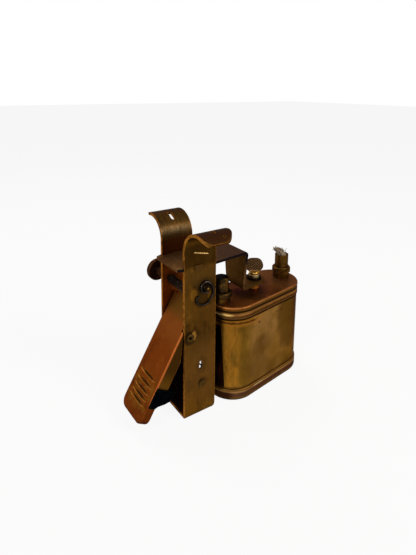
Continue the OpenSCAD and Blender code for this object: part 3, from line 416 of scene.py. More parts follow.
def patina(name, dark, base, light, edge=None, size=1.0, metallic=0.9, rough=(0.30, 0.50),
           streak=(1, 1, 1), grain=0.5, edge_r=0.0006, edge_amount=0.85, dirt_and_shade=0.55, reach=0.002,
           paint=None, relief=None, specular=0.1):
    """Old metal: broad clouds, fine mottling, streaks, dirt and painted shade in corners, a worn edge
    and small pits.
    paint lays a piece's own marks over the clouds, and relief cuts its own height into them."""
    n = Nodes(name)
    broad = n.noise(CLOUDS / size, 5, 0.6, distort=0.4)
    streaks = n.noise(STREAKS / size, 4, 0.6, n.stretched(streak))
    fine = n.noise(MOTTLE / size, 3, 0.6)
    tone = n.math("MULTIPLY_ADD", streaks, 0.45, n.both(broad, 0.75))
    tone = n.math("MULTIPLY_ADD", fine, 0.22 * grain, tone)
    c = n.mix(n.ramp(tone, 0.46, 0.66), lin(dark), lin(base))
    c = n.mix(n.ramp(tone, 0.68, 0.90), c, lin(light))
    if paint:
        c = paint(n, c)
    pits = n.both(n.ramp(n.cells(PITS / size), 0.10, 0.02), n.patches(PIT_AREAS / size, 2, 0.50, 0.62))
    c = n.tint(c, pits, [k * PIT_SHADE for k in dark], PIT_AMOUNT)
    if edge:
        worn = n.both(n.edges(edge_r), n.patches(WEAR / size, 3, 0.34, 0.60))
        c = n.tint(c, worn, edge, edge_amount)
    # Dirt and painted shade: corners and narrow gaps darkened by ambient occlusion.
    if dirt_and_shade:
        c = n.tint(c, n.nook(reach), [k * DIRT_AND_SHADE_TONE for k in dark], dirt_and_shade)
    mean = n.math("ADD", n.both(fine, 0.5), n.both(broad, 0.5))
    shine = n.ramp(mean, 0.35, 0.65, rough[1], rough[0])
    height = n.math("MULTIPLY_ADD", fine, 0.35, n.both(n.noise(WAVES / size, 3), 0.65))
    normal = n.bump(height, WAVE_DEPTH, 0.5)
    if relief:
        normal = n.bump(relief(n), RELIEF_DEPTH, 0.9, normal)
    return n.done(c, shine, metallic, normal, specular)


# ---------------------------------------------------------------- each piece's own marks, and painted light and shade

FRAME_SPOTS = [((-0.0063, FRONT_Y, 0.0461), 0.0040, (30, 19, 6), 0.85),
               ((-0.0038, FRONT_Y, 0.0465), 0.0020, (176, 124, 50), 0.75, (1.4, 1, 0.8)),
               ((0.0030, FRONT_Y, 0.0695), 0.0078, (34, 22, 6), 0.80),
               ((0.0012, FRONT_Y, 0.0177), 0.0034, (38, 25, 8), 0.60),
               ((0.0005, FRONT_Y, 0.0283), 0.0036, (40, 27, 8), 0.60, (1.2, 1, 0.8)),
               ((-0.0012, FRONT_Y, 0.0834), 0.0034, (66, 42, 12), 0.40),
               ((0.0010, FRONT_Y, 0.0780), 0.0060, (74, 50, 20), 0.45, (0.7, 1, 1)),
               ((-0.0040, FRONT_Y, 0.0690), 0.0022, (140, 92, 24), 0.40, (1, 1, 0.7)),
               ((0.0062, FRONT_Y, 0.0660), 0.0016, (150, 100, 30), 0.45, (1, 1, 0.5)),
               ((-0.0070, FRONT_Y, 0.0060), 0.0050, (116, 74, 16), 0.40, (1, 1, 0.6)),
               ((0.0002, FRONT_Y, 0.0395), 0.0060, (52, 36, 14), 0.40, (1, 1, 0.6)),
               ((0.0060, FRONT_Y, 0.0560), 0.0080, (74, 46, 14), 0.40, (1, 1, 0.5))]
LINE_TILT = math.radians(14)        # of the pressed line on the front upright


def paint_frame(n, c):
    """Painted shade on the inner faces, stains and flecks outside, dark curls, a painted lit patch on
    the rear inner face, painted shade under the front curl, and painted highlights on the rear crest,
    the pressed line and the left edges.
    """
    inside = n.both(n.band(Y, -INNER_Y, INNER_Y, 0.0001), n.band(Z, -0.01, 0.090, 0.002))
    # Painted shade on the inner faces, and deeper painted shade low down inside the frame.
    c = n.coats(c, (inside, (70, 34, 8), 0.85),
                (n.both(inside, n.band(Z, -0.001, 0.024, 0.006)), (22, 13, 5), 0.75))
    c = n.spots(c, FRAME_SPOTS)

    flecks = n.both(n.patches(900, 3, 0.56, 0.68, rough=0.7), n.patches(85, 2, 0.42, 0.60))
    front_curl = n.both(n.past(Z, 0.088, 0.097), n.facing(Z, -0.2, 0.5), n.past(Y, 0.004, -0.004))
    back = n.past(Y, -0.004, 0.004)
    brushed = n.patches(420, 3, 0.30, 0.70, rough=0.6, vector=n.stretched((3.5, 0.25, 0.25)))
    rear_curl = n.both(n.past(Z, 0.084, 0.092), back, n.ramp(brushed, 0, 1, 0.6, 0.95))
    # Painted highlight along the rear curl's crest, broken up by the brushing.
    rear_crest = n.both(n.band(Z, 0.0952, 0.0985, 0.0014), back, brushed)
    rear_top = n.both(n.band(Z, 0.078, 0.0925, 0.002), n.past(Y, 0.008, 0.0105))
    # Painted light: a lit patch on the rear upright's inner face.
    rear_inner = n.both(n.band(Z, 0.030, 0.078, 0.004), n.band(Y, 0.009, INNER_Y, 0.0001),
                        n.patches(120, 3, 0.3, 0.6, 0.6, 1))
    c = n.coats(c, (flecks, (34, 19, 4), 0.60),
                (front_curl, (48, 27, 13), 0.90),
                (rear_curl, (45, 30, 13), 1.0),
                (rear_crest, (92, 78, 54), 0.50),
                (rear_top, (60, 26, 5), 0.88),
                (rear_inner, (156, 74, 14), 0.90))

    front = n.past(Y, -0.0115, -0.0121)
    # Painted shade under the front curl, over the top of the front face.
    high_face = n.both(n.band(Z, 0.0835, 0.0960, 0.0016), front)
    low_face = n.both(n.band(Z, 0.008, 0.040, 0.008), front, n.patches(90, 3, 0.3, 0.6, 0.4, 1.0))
    # Painted highlight along the pressed line.
    tilted = n.math("MULTIPLY_ADD", n.axis(X), math.tan(LINE_TILT), n.axis(Z))
    line = n.both(n.ramp(tilted, 0.0904, 0.0906), n.ramp(tilted, 0.0910, 0.0908),
                  n.band(X, -0.0040, 0.0044, 0.0006), n.past(Y, -0.0120, -0.0122))
    # Painted highlight on the faces that look left.
    left_edge = n.both(n.facing(X, -0.55, -0.85), n.patches(300, 3, 0.30, 0.62))
    return n.coats(c, (high_face, (44, 26, 4), 0.80),
                   (low_face, (110, 72, 30), 0.45),
                   (line, (224, 186, 116), 0.95),
                   (left_edge, (172, 112, 46), 0.80))


def paint_bracket(n, c):
    """A dull top, sides and undersides darkened with painted shade, a brassy arm and foot."""
    top = n.both(n.facing(Z, 0.4, 0.8), n.past(X, -0.004, 0.018))
    # Painted shade: the plate's sides near black.
    sides = n.both(n.cheeks(0.5, 0.8), n.past(Z, 0.074, 0.079))
    arm = n.both(n.facing(X, -0.4, -0.8), n.past(X, 0.020, 0.026))
    arm_brass = n.both(arm, n.patches(190, 5, 0.35, 0.62, 0.40, 1.0, rough=0.65))
    tenons = n.either(n.past(Y, 0.01205, 0.01215), n.past(Y, -0.01205, -0.01215))
    return n.coats(c, (top, (56, 40, 30), 0.85),
                   (sides, (7, 8, 18), 0.95),
                   (arm_brass, (78, 52, 16), 0.95),
                   (n.both(arm, n.patches(240, 4, 0.58, 0.70)), (26, 14, 4), 0.75),
                   (n.past(Z, 0.0660, 0.0628), (72, 47, 16), 0.85),
                   # painted shade on the faces that look down
                   (n.facing(Z, -0.4, -0.8), (20, 12, 8), 0.85),
                   (tenons, (78, 52, 18), 0.90))


def paint_lever(n, c):
    """s runs down the lever from its pin, depth outwards through its web."""
    out = n.along(WEB, n.normal)
    s = n.math("SUBTRACT", n.along(DOWN), PIN.dot(DOWN))
    depth = n.math("SUBTRACT", n.along(WEB), PIN.dot(WEB))
    outer = n.ramp(out, 0.6, 0.9)

    wide = n.both(n.band(Y, -0.0098, 0.0098, 0.0002), n.ramp(out, 0.25, 0.45))
    ribs = n.both(n.ramp(s, 0.0240, 0.0250), n.ramp(s, 0.0450, 0.0440), wide)
    worn = n.both(wide, n.ramp(s, 0.0225, 0.0300), n.ramp(s, 0.0460, 0.0420),
                  n.patches(260, 3, 0.40, 0.62))
    low_web = n.both(outer, n.ramp(s, 0.030, 0.045), n.patches(130, 3, 0.40, 0.70))
    c = n.coats(c, (worn, (124, 84, 24), 0.50),
                # painted highlight on the grooves' rims, then painted shade in their floors
                (n.both(ribs, n.ramp(depth, 0.00499, 0.00493)), (150, 96, 32), 0.70),
                (n.both(ribs, n.ramp(depth, 0.00486, 0.00440)), (40, 22, 6), 0.90),
                (low_web, (66, 32, 10), 0.60))

    sides = n.both(n.cheeks(0.72, 0.92), n.ramp(s, 0.0360, 0.0345))
    c = n.coats(c, (sides, (90, 60, 14), 0.95),
                (n.both(sides, n.ramp(s, 0.0275, 0.018)), (52, 31, 6), 0.85),
                (n.both(sides, n.ramp(s, 0.0310, 0.0330)), (168, 118, 36), 0.60))

    end = n.both(n.ramp(s, 0.0440, 0.0475), n.ramp(out, 0.95, 0.80))
    # Painted highlight along the lever's rounded front edge.
    front_rim = n.both(n.ramp(out, 0.985, 0.85), n.ramp(out, 0.10, 0.40),
                       n.past(Y, -0.0096, -0.0102), n.ramp(s, 0.0400, 0.0340))
    tongue = n.both(n.ramp(s, -0.002, -0.010), n.ramp(out, 0.2, 0.6))
    return n.coats(c, (end, (70, 34, 12), 0.70),
                   (front_rim, (162, 86, 40), 0.75),
                   # painted shade on the faces turned inwards
                   (n.ramp(out, -0.2, -0.6), (44, 27, 10), 0.85),
                   # painted light on the outer web near the pin
                   (n.both(n.ramp(s, 0.012, 0.000), outer), (132, 74, 30), 0.50),
                   (tongue, (92, 62, 20), 0.85))


def tank_u(n):
    """Length along the tank from its middle, towards the wick."""
    return n.math("SUBTRACT", n.along(ALONG), TANK_MID.dot(ALONG))


TANK_SPOTS = [((0.0374, -0.0155, 0.0433), 0.0007, (44, 24, 8), 0.75, (0.8, 1, 1)),
              ((0.0404, -0.0151, 0.0200), 0.0110, (74, 48, 18), 0.45, (0.7, 1, 0.8)),
              ((0.0600, -0.0120, 0.0220), 0.0110, (140, 98, 44), 0.45, (0.7, 1, 1)),
              ((0.0640, -0.0100, 0.0370), 0.0110, (70, 48, 18), 0.60, (1, 1, 0.6)),
              ((0.0560, -0.0128, 0.0110), 0.0070, (82, 56, 18), 0.40, (0.6, 1, 1.3))]


def paint_tank(n, c):
    """A painted highlight on the left corner, painted shadow and dark reflection on the side next to
    the frame with a painted red reflection in it, stains, a washed and scratched top.
    """
    u = tank_u(n)
    z = n.axis(Z)
    # Painted highlight on the tank's left corner.
    corner = n.both(n.facing(X, -0.20, -0.50), n.facing(X, -0.92, -0.80), n.facing(Y, 0.0, -0.3),
                    n.patches(200, 4, 0.30, 0.70, rough=0.6, vector=n.stretched((1, 1, 0.3))),
                    n.ramp(z, 0.050, 0.005, 0.45, 0.95))
    # Painted shadow and dark reflection on the side next to the frame.
    leaning = n.math("MULTIPLY_ADD", z, 2.9, n.axis(X, n.normal))
    shaded = n.both(n.ramp(leaning, -0.761, -0.781), n.patches(90, 3, 0.15, 0.55, 0.92, 1.0),
                    n.nook(0.040, 0.78, 0.93))
    # Painted reflection: dark red in the shaded side.
    red_reflection = n.both(n.facing(X, -0.84, -0.88), n.facing(X, -0.95, -0.91), shaded, n.ramp(z, 0.030, 0.022))
    middle = n.both(n.ramp(u, -0.022, -0.012), n.ramp(u, 0.016, 0.006),
                    n.patches(110, 4, 0.30, 0.62, 0.35, 1.0))
    c = n.coats(c, (corner, (192, 124, 36), 0.68),
                (shaded, (9, 4, 1), 0.98),
                (red_reflection, (58, 22, 6), 0.80),
                (middle, (154, 112, 64), 0.62))
    c = n.spots(c, TANK_SPOTS)

    foot = n.both(n.band(Z, -0.01, 0.0082, 0.0006, 0.0020), n.patches(70, 2, 0.3, 0.6, 0.4, 0.9))
    wash = n.both(n.band(Z, 0.0445, 0.0500, 0.0012, 0.0050, 90), n.ramp(u, 0.000, -0.020))
    drip = n.both(n.band(Z, 0.0463, 0.0474, 0.0003, 0.0040, 110), n.ramp(u, -0.010, -0.016))
    scratch = n.both(n.band(Z, 0.0442, 0.0446, 0.0002, 0.0014, 300),
                     n.ramp(u, 0.0035, 0.0045), n.ramp(u, 0.0105, 0.0095))
    return n.coats(c, (foot, (70, 44, 14), 0.75),
                   (n.band(Z, 0.0068, 0.0074, 0.0001), (50, 28, 8), 0.80),
                   (wash, (150, 96, 28), 0.55),
                   (drip, (62, 28, 8), 0.85),
                   (n.band(Z, 0.0482, 0.0530, 0.0002, 0.0006), (18, 8, 1), 0.95),
                   (scratch, (36, 22, 6), 0.85),
                   (n.ramp(u, 0.0230, 0.0290), (96, 72, 48), 0.50),
                   (n.ramp(u, 0.0296, 0.0320), (46, 34, 20), 0.75))


def paint_lid(n, c):
    """From the top down: worn flat, rim with its crest's painted highlight, neck, bead with its painted
    highlights, dark foot.
    """
    u = tank_u(n)
    flat = n.facing(Z, 0.85, 0.97)
    side = n.math("SUBTRACT", 1.0, flat)
    left = n.facing(X, 0.2, -0.6)
    rim = n.both(side, n.band(Z, 0.0540, 0.0554, 0.0001))
    rim_left = n.both(side, n.band(Z, 0.0540, 0.0556, 0.0001), left)
    # Painted highlight along the crest, brighter on the left.
    crest = n.both(side, n.band(Z, 0.0553, 0.0561, 0.0002), n.patches(140, 3, 0.30, 0.60, 0.45, 1.0))
    neck = n.band(Z, 0.0526, 0.0541, 0.0003)
    bead = n.band(Z, 0.0494, 0.0527, 0.0002)
    # Painted highlights on the bead: a light band, and a bright shine on the left.
    bead_light = n.both(n.band(Z, 0.0511, 0.0522, 0.0003), n.patches(200, 3, 0.35, 0.60, 0.4, 1.0))
    bead_line = n.both(n.band(Z, 0.0507, 0.0510, 0.0001), n.facing(X, -0.5, -0.1))
    bead_shine = n.both(n.band(Z, 0.0509, 0.0521, 0.0002), n.facing(X, -0.50, -0.72))
    foot = n.both(side, n.past(Z, 0.0496, 0.0493))
    near_corner = n.both(flat, n.ramp(u, -0.012, -0.028), n.past(Y, 0.0, -0.012))
    return n.coats(c, (rim, (92, 64, 22), 0.90),
                   (rim_left, (104, 62, 20), 0.90),
                   (crest, (128, 78, 40), 0.90),
                   (neck, (40, 24, 5), 0.92),
                   (bead, (100, 66, 30), 0.95),
                   (bead_light, (158, 104, 52), 0.88),
                   (bead_line, (62, 34, 10), 0.75),
                   (bead_shine, (250, 206, 120), 0.90),
                   (foot, (14, 6, 1), 0.97),
                   (n.both(flat, n.patches(75, 3, 0.42, 0.66)), (112, 64, 26), 0.60),
                   (n.both(crest, left), (176, 108, 48), 0.51),
                   (n.both(flat, n.ramp(u, 0.004, 0.020)), (112, 74, 42), 0.50),
                   (near_corner, (138, 76, 32), 0.55))


def paint_base(n, c):
    """The cap's rim: a painted highlight on the crest over an olive line, a foot darkened with painted
    shade, and painted shade next to the frame.
    """
    mottle = n.noise(120, 3)
    # Painted highlights: along the crest, and a brighter streak on it.
    crest = n.both(n.band(Z, 0.0049, 0.0060, 0.0003), n.ramp(mottle, 0.28, 0.60, 0.4, 1.0))
    streak = n.both(n.band(Z, 0.0053, 0.0058, 0.0002), n.near((0.0375, -0.0160, 0.0056), 0.0034))
    olive = n.both(n.band(Z, 0.0014, 0.0024, 0.0003), n.ramp(mottle, 0.2, 0.6, 0.5, 1.0))
    # Painted shade on the side next to the frame.
    shaded = n.both(n.facing(X, -0.50, -0.72), n.ramp(mottle, 0.2, 0.6, 0.7, 1.0))
    return n.coats(c, (n.past(Z, 0.0056, 0.0064), (104, 70, 26), 0.85),
                   (crest, (152, 114, 62), 0.88),
                   (streak, (190, 168, 122), 0.80),
                   (olive, (104, 74, 26), 0.85),
                   # painted shade on the rounded foot
                   (n.past(Z, 0.0013, 0.0004), (34, 16, 6), 0.92),
                   (n.both(shaded, n.past(Z, 0.0056, 0.0050)), (40, 18, 6), 0.90),
                   (n.both(shaded, n.band(Z, 0.0056, 0.0064, 0.0003)), (98, 62, 16), 0.60),
                   (n.both(shaded, n.past(Z, 0.0064, 0.0067)), (52, 28, 8), 0.60))


HEAD_TURN = math.radians(-34)       # of the clamp screw's flat head
HEAD_DIR = Vector((math.cos(HEAD_TURN), math.sin(HEAD_TURN), 0))
HATCH_PITCH = 0.0017


def head_hatch(n):
    """Crossed cuts on the flat head of the clamp screw, 0 in the cuts."""
    u = n.math("SUBTRACT", n.along(HEAD_DIR), TANK_MID.dot(HEAD_DIR))
    z = n.axis(Z)
    rate = math.pi / HATCH_PITCH
    waves = [n.math("ABSOLUTE", n.math("SINE", n.both(n.math(way, u, z), rate)))
             for way in ("ADD", "SUBTRACT")]
    cut = n.ramp(n.math("MINIMUM", *waves), 0.05, 0.55)
    return n.either(cut, n.ramp(z, 0.0674, 0.0670))


def paint_screw(n, c):
    """A brown head with dark cuts over a bright ring."""
    head = n.past(Z, 0.0668, 0.0674)
    ring = n.both(n.past(Z, 0.0651, 0.0653), n.past(Z, 0.0667, 0.0664))
    return n.coats(c, (head, (84, 58, 34), 0.92),
                   (n.both(head, n.facing(Z, 0.30, 0.8)), (104, 74, 48), 0.70),
                   (n.both(head, n.math("SUBTRACT", 1.0, head_hatch(n))), (22, 13, 6), 0.92),
                   (ring, (196, 146, 60), 0.75))


def paint_cap(n, c):
    """A dark top, a brassy collar and a painted highlight stripe down the front."""
    top = n.both(n.facing(Z, 0.6, 0.9), n.past(Z, 0.068, 0.069))
    collar = n.both(n.past(Z, 0.0592, 0.0594), n.past(Z, 0.0624, 0.0621))
    # Painted highlight: a lighter stripe down the front.
    stripe = n.both(n.facing(Y, -0.72, -0.84), n.facing(X, -0.02, 0.12), n.facing(X, 0.55, 0.42),
                    n.past(Z, 0.0622, 0.0628))
    return n.coats(c, (top, (26, 18, 11), 0.90),
                   (collar, (62, 42, 16), 0.60),
                   (stripe, (108, 72, 24), 0.50))


def paint_stud(n, c):
    """A bright worn dot in the middle of the stud's head."""
    return n.tint(c, n.near((0.0032, -0.0132, 0.0716), 0.0006, (1, 0.2, 1)), (150, 108, 40), 0.80)


# ---------------------------------------------------------------- rubber and cotton

def rubber():
    n = Nodes("black_rubber")
    broad, fine = n.noise(380, 4), n.noise(2600, 3)
    c = n.mix(n.ramp(broad, 0.35, 0.7), lin((1, 2, 3)), lin((5, 8, 9)))
    c = n.tint(c, n.edges(0.0005), (34, 38, 30), 0.35)
    height = n.math("MULTIPLY_ADD", fine, 0.4, broad)
    return n.done(c, n.ramp(broad, 0.3, 0.7, 0.60, 0.45), 0.0, n.bump(height, 0.00015, 0.6), 0.0)


def cotton(name, dark, light):
    n = Nodes(name)
    fibres = n.noise(3200, 4, 0.7, n.stretched((1, 1, 0.12)))
    soiled = n.noise(420, 3)
    c = n.mix(n.ramp(fibres, 0.3, 0.7), lin(dark), lin(light))
    c = n.tint(c, n.ramp(soiled, 0.5, 0.75), (112, 96, 70), 0.45)
    n.bsdf.inputs["Sheen Weight"].default_value = 0.3
    return n.done(c, n.ramp(soiled, 0.3, 0.7, 0.85, 0.95), 0.0, n.bump(fibres, 0.0002, 0.7))


# ---------------------------------------------------------------- the materials and who wears them

m_strip = patina("strip_brass", (44, 27, 6), (86, 56, 14), (120, 82, 28), edge=(164, 104, 40),
                 metallic=0.85, rough=(0.34, 0.55), streak=(1.6, 1.6, 0.35), dirt_and_shade=0.7, reach=0.004,
                 paint=paint_frame)
m_bracket = patina("brown_steel", (48, 29, 15), (88, 60, 34), (116, 84, 52), edge=(120, 84, 44),
                   size=0.8, metallic=0.85, rough=(0.42, 0.62), edge_amount=0.15, reach=0.004,
                   paint=paint_bracket)
m_copper = patina("copper_brown", (84, 38, 8), (110, 52, 12), (130, 68, 20), edge=(168, 92, 40),
                  size=1.2, metallic=0.85, rough=(0.40, 0.54), grain=0.3, edge_amount=0.6,
                  reach=0.003, paint=paint_lever)
m_tank = patina("tank_brass", (84, 57, 15), (110, 77, 22), (136, 98, 34), size=0.9,
                rough=(0.30, 0.46), streak=(1.3, 1.3, 0.5), dirt_and_shade=0.5, reach=0.004, paint=paint_tank)
m_base = patina("rim_brass", (54, 30, 17), (78, 48, 31), (98, 62, 42), size=0.8, metallic=0.85,
                rough=(0.32, 0.5), reach=0.004, paint=paint_base)
m_lid = patina("lid_brown", (40, 22, 5), (72, 40, 13), (98, 56, 24), size=0.8, metallic=0.85,
               rough=(0.34, 0.52), reach=0.003, paint=paint_lid)
m_tube = patina("tube_brass", (38, 23, 6), (80, 53, 16), (136, 96, 38), edge=(156, 108, 46),
                size=0.6, rough=(0.3, 0.48), edge_r=0.0003)
# The boss's colours are painted light: brighter than its brass, for the highlight on it.
m_boss = patina("boss_brass", (150, 92, 24), (214, 140, 48), (250, 190, 90), edge=(250, 196, 100),
                size=0.6, rough=(0.3, 0.48), edge_r=0.0003, reach=0.001)
m_cap = patina("cap_brass", (16, 12, 7), (44, 31, 14), (104, 74, 32), edge=(140, 100, 46),
               size=0.6, rough=(0.28, 0.45), edge_r=0.0003, paint=paint_cap)
m_pin = patina("pin_metal", (30, 20, 8), (72, 52, 22), (140, 106, 54), size=0.5)
m_steel = patina("dark_steel", (16, 12, 10), (40, 29, 22), (84, 68, 56), size=0.5, rough=(0.34, 0.55))
m_knob = patina("knob_brass", (22, 12, 8), (56, 32, 18), (92, 58, 30), edge=(150, 98, 42),
                size=0.5, metallic=0.85, rough=(0.36, 0.55), edge_r=0.0004)
m_wire = patina("steel_wire", (18, 14, 10), (44, 37, 30), (116, 108, 104), size=0.4, rough=(0.32, 0.5))
m_screw = patina("screw_metal", (84, 66, 42), (140, 116, 78), (212, 194, 158), size=0.5,
                 rough=(0.2, 0.36), paint=paint_screw, relief=head_hatch)
m_flint = patina("flint", (34, 32, 32), (62, 60, 60), (96, 92, 90), size=0.3, metallic=0.4,
                 rough=(0.6, 0.8), dirt_and_shade=0)
m_block = patina("dark_block", (3, 2, 1), (9, 5, 2), (34, 20, 8), size=0.6, metallic=0.0,
                 rough=(0.7, 0.9), reach=0.004, specular=0.0)
m_stud = patina("stud_metal", (10, 7, 4), (26, 18, 9), (58, 42, 20), size=0.4, rough=(0.36, 0.55),
                paint=paint_stud)
m_rubber = rubber()
m_wick = cotton("wick_cotton", (88, 68, 44), (158, 136, 104))
m_pack = cotton("cotton", (188, 178, 152), (226, 218, 200))

LOOK = {
    m_strip: ["frame"], m_bracket: ["bracket"], m_block: ["spacer_block"], m_copper: ["lever"],
    m_pin: ["spacer_rivet", "pivot_pin"],
    m_rubber: ["bumper_block", "filler_gasket"],
    m_wire: ["lever_spring", "flint_spring", "keeper_wire"],
    m_steel: ["striker_roller", "striker_shaft", "knob_pin", "clamp_washer"],
    m_knob: ["striker_knob"], m_flint: ["flint"], m_stud: ["keeper_stud"],
    m_tube: ["pivot_washers", "flint_tube", "flint_screw", "keeper_nut",
             "filler_neck", "wick_neck", "wick_nut", "wick_tube"],
    m_tank: ["tank_body"], m_base: ["tank_base"], m_lid: ["tank_lid"], m_pack: ["tank_packing"],
    m_boss: ["clamp_boss"], m_screw: ["clamp_screw"], m_cap: ["filler_cap"], m_wick: ["wick"]}
for mat, wearers in LOOK.items():
    for node in wearers:
        NODES[node].data.materials.clear()
        NODES[node].data.materials.append(mat)


# ---------------------------------------------------------------- wick

lo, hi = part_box("wick_tube")
WICK_X, WICK_Y, TUBE_TOP = (lo.x + hi.x) / 2, (lo.y + hi.y) / 2, hi.z
WICK_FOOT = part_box("wick")[0].z
WICK_R, TUBE_R = 2.9 * MM, 3.15 * MM                    # of the strands' feet, and of the room for them
LEFT = (0.67 * ACROSS - 0.74 * ALONG).normalized()      # the way that the fray leans
STRANDS, WISPS = 120, 24
BURIED = 3 * MM                                         # from the tube's top down to the first bend
STRAND_LEAN, STRAND_TOP, STRAND_UNEVEN = (1.4, 3.8), 3.5, (-1.6, 0.4)       # mm
STRAND_THICK, STRAND_TIP = 0.34, [0.32, 0.26, 0.14]                         # radii in mm
FREE_FROM = 0.35                                        # part of a strand that stays straight
WISP_FROM, WISP_TOP, WISP_R = (1.0, 2.8), (1.4, 3.9), 0.12                  # mm
WISP_LEFT, WISP_RIGHT, SHARE_LEFT = (1.2, 4.2), (0.3, 1.8), 0.75            # mm, mm and part
rng = random.Random(7)


def strand(i, points=10):
    """One thick strand from the wick's foot, leaning out over the tube's rim."""
    r = WICK_R * math.sqrt(rng.random())
    a = rng.random() * 2 * math.pi
    start = ALONG * (r * math.cos(a)) + ACROSS * (r * math.sin(a))
    lean = rng.uniform(*STRAND_LEAN) * MM - 0.30 * start.dot(LEFT)
    top = STRAND_TOP * MM + 0.40 * start.dot(LEFT) + rng.uniform(*STRAND_UNEVEN) * MM
    pts = []
    for k in range(points):
        t = k / (points - 1)
        z = WICK_FOOT if k == 0 else TUBE_TOP - BURIED + (top + BURIED) * t
        free = max(0.0, (t - FREE_FROM) / (1 - FREE_FROM))
        wave = 0.34 * MM * t
        p = start * (1 + 0.12 * t) + LEFT * lean * free ** 1.4
        p = p + ALONG * (wave * math.sin(8 * t + i)) + ACROSS * (wave * math.cos(6 * t + 2 * i))
        if z < TUBE_TOP and p.length > TUBE_R:
            p = p * (TUBE_R / p.length)
        pts.append(Vector((WICK_X, WICK_Y, z)) + p)
    radii = [STRAND_THICK * MM] * (points - len(STRAND_TIP)) + [r * MM for r in STRAND_TIP]
    return tube_mesh(pts, radii, 6)


def wisp(i, points=8):
    """One thin loose fibre over the tube, mostly bent to the left."""
    a = rng.random() * 2 * math.pi
    start = (ALONG * math.cos(a) + ACROSS * math.sin(a)) * rng.uniform(*WISP_FROM) * MM
    top = rng.uniform(*WISP_TOP) * MM
    out = rng.uniform(*WISP_LEFT) * MM if rng.random() < SHARE_LEFT else -rng.uniform(*WISP_RIGHT) * MM
    pts = []
    for k in range(points):
        t = k / (points - 1)
        z = TUBE_TOP + 0.3 * MM + top * math.sin(t * 1.75)
        wave = 0.4 * MM * math.sin(5 * t + i) * t
        root = Vector((WICK_X, WICK_Y, z)) + start
        pts.append(root + LEFT * (out * t ** 1.5) + ALONG * wave + ACROSS * wave)
    return tube_mesh(smooth_path(pts, 2), WISP_R * MM, 4)


v, f = joined([strand(i) for i in range(STRANDS)] + [wisp(i) for i in range(WISPS)])
wick = mesh_piece("wick_threads", v, f, m_wick)
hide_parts("wick")
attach(wick, "tank")


# ---------------------------------------------------------------- striker roller with its knurling

def knurled_roller():
    """A bored roller with crossed grooves and bevelled, smooth ends."""
    radius, bore, depth, edge, pitch = 2.4 * MM, 1.27 * MM, 0.22 * MM, 0.5 * MM, 0.75 * MM
    around, rows, teeth = 160, 110, 26
    groove_slope = 2.2
    smooth_end = edge * 1.2
    lo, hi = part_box("striker_roller")
    cx, cz = (lo.x + hi.x) / 2, (lo.z + hi.z) / 2
    angles = [TURN * i / around for i in range(around)]
    verts, faces = [], []
    for j in range(rows + 1):
        y = lo.y + (hi.y - lo.y) * j / rows
        end = min(y - lo.y, hi.y - y)
        turns = (y - lo.y) / pitch
        for a in angles:
            u = teeth * a / TURN
            one, two = (abs((w % 1) * 2 - 1) for w in (u + turns, u - turns))
            cut = depth * max(0.0, 1 - groove_slope * min(one, two)) if end >= smooth_end else 0
            r = radius - max(0.0, edge - end) - cut
            verts.append((cx + r * math.cos(a), y, cz + r * math.sin(a)))
    for j in range(rows):
        for i in range(around):
            a, b = j * around + i, j * around + (i + 1) % around
            faces.append((a, a + around, b + around, b))
    base, top = len(verts), rows * around
    for y in (lo.y, hi.y):
        verts += [(cx + bore * math.cos(a), y, cz + bore * math.sin(a)) for a in angles]
    for i in range(around):
        k = (i + 1) % around
        faces.append((i, k, base + k, base + i))
        faces.append((top + k, top + i, base + around + i, base + around + k))
        faces.append((base + i, base + k, base + around + k, base + around + i))
    return verts, faces


v, f = knurled_roller()
roller = mesh_piece("knurled_roller", v, f, m_steel, smooth=False)
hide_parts("striker_roller")
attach(roller, "striker")


# ---------------------------------------------------------------- wound springs and bent wire

def lever_spring():
    """A leg on the lever's web, the coil round the pin, and a leg bent into the frame's slot."""
    wire, radius, pitch, y0 = 0.45 * MM, 2.35 * MM, 1.5 * MM, 1.5 * MM
    leg, rise, bend = 15, 0.9 * MM, 1.4 * MM
    turns, steps = 4, 170
    tip_y = -12.2 * MM
    slot = Vector((0.5 * MM, 0, 28.3 * MM))
    dx, dz = slot.x - PIN.x, PIN.z - slot.z
    start = math.pi - LEAN
    end = math.atan(dx / dz) + math.asin(radius / math.hypot(dx, dz)) - TURN * turns
    span = start - end

    def coil(t):
        a, y = start - span * t, y0 - pitch * span / TURN * t
        return Vector((PIN.x + radius * math.cos(a), y, PIN.z + radius * math.sin(a)))

    pts = [coil(0) + DOWN * leg * MM * (1 - k / 4) + WEB * rise * (1 - k / 4) for k in range(4)]
    pts += [coil(i / steps) for i in range(steps + 1)]
    corner = Vector((slot.x, coil(1).y, slot.z))
    d = (corner - coil(1)).normalized()
    b = corner - d * bend
    pts += [coil(1) + (b - coil(1)) * k / 6 for k in range(1, 6)]
    for k in range(10):
        a = math.radians(10 * k)
        pts.append(b + bend * (math.sin(a) * d + (math.cos(a) - 1) * Vector((0, 1, 0))))
    pts.append(Vector((slot.x, tip_y, slot.z)))
    return tube_mesh(pts, wire, 12)


v, f = lever_spring()
spring = mesh_piece("lever_spring_wire", v, f, m_wire)
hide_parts("lever_spring")
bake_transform(spring)

FLINT_UP = 22.5                     # the flint tube's height over the pin, in mm along the lever
FLINT_LOW, FLINT_HIGH = -1.15, 2    # the room for its spring, in mm along the tube


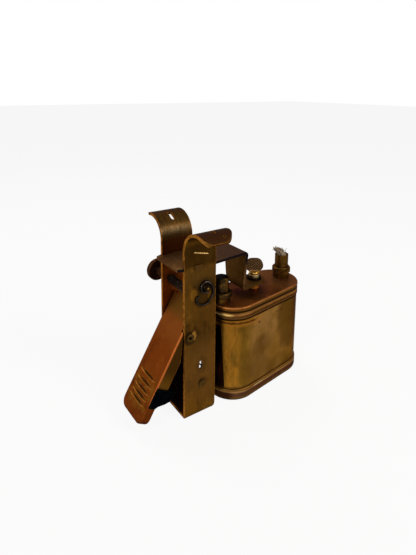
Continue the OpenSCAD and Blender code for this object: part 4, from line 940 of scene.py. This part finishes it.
def flint_spring():
    """The coil under the flint, with its closed ends, in the flint tube's own axis."""
    wire, radius = 0.17 * MM, 0.98 * MM
    turns, steps, closed = 7, 16, 0.7
    foot = PIN - DOWN * FLINT_UP * MM
    low, high = FLINT_LOW * MM + wire, FLINT_HIGH * MM - wire
    across = Vector((0, 1, 0))
    side = WEB.cross(across)
    pts = []
    for i in range(turns * steps + 1):
        t = i / (turns * steps)
        rise = low + (high - low) * min(1.0, max(0.0, (t * turns - closed) / (turns - 2 * closed)))
        a = TURN * turns * t
        pts.append(foot + WEB * rise + (across * math.cos(a) + side * math.sin(a)) * radius)
    return tube_mesh(pts, wire, 8)


v, f = flint_spring()
coil = mesh_piece("flint_spring_coil", v, f, m_wire)
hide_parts("flint_spring")
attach(coil, "lever")
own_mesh(coil)


def keeper():
    """The path of the CAD wire in finer steps, in mm: round the stud, then the hook and its curl."""
    sx, sz, wy = 3.0, 71.8, -12.8           # the stud's middle, and the wire's plane
    hx, hz = sx - 1.1, sz - 4.6             # the hook's middle
    first, loop, hook, curl = 2.25, 3.0, 4.8, 1.1
    loop_from, loop_to, hook_to, curl_by = (math.radians(a) for a in (350, 45, -166, 150))
    loop_steps, hook_steps, curl_steps = 48, 32, 12
    widen = 2.6
    pts = []

    def arc(cx, cz, r, a):
        pts.append((cx + r * math.cos(a), wy, cz + r * math.sin(a)))

    for i in range(loop_steps + 1):
        t = i / loop_steps
        g = min(1, t / 0.5)
        arc(sx, sz, first + (loop - first) * g * g * (3 - 2 * g), loop_from + (loop_to - loop_from) * t)
    jx, jz = pts[-1][0], pts[-1][2]
    a0, r0 = math.atan2(jz - hz, jx - hx), math.hypot(jx - hx, jz - hz)
    for i in range(1, hook_steps + 1):
        t = i / hook_steps
        arc(hx, hz, r0 + (hook - r0) * min(1, widen * t), a0 + (hook_to - a0) * t)
    ex, ez = pts[-1][0], pts[-1][2]
    cx, cz = ex - curl * math.cos(hook_to), ez - curl * math.sin(hook_to)
    for i in range(1, curl_steps + 1):
        arc(cx, cz, curl, hook_to - curl_by * i / curl_steps)
    radii = [0.5 * MM] * (len(pts) - 1) + [0.38 * MM]
    return tube_mesh([Vector(p) * MM for p in pts], radii, 12)


v, f = keeper()
wire = mesh_piece("keeper_bent_wire", v, f, m_wire)
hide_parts("keeper_wire")
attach(wire, "keeper")


# ---------------------------------------------------------------- softened edges, in mm

SOFT_EDGES = {"frame": 0.22, "bracket": 0.22, "lever": 0.25, "bumper_block": 0.5, "clamp_screw": 0.2,
              "striker_knob": 0.15, "filler_cap": 0.12, "wick_nut": 0.15, "keeper_stud": 0.15}
for node, width in SOFT_EDGES.items():
    bevel = NODES[node].modifiers.new("soft_edges", "BEVEL")
    bevel.width, bevel.segments = width * MM, 2
    bevel.limit_method, bevel.angle_limit = "ANGLE", math.radians(40)

bpy.context.view_layer.update()
bpy.context.scene.view_settings.view_transform = "Standard"
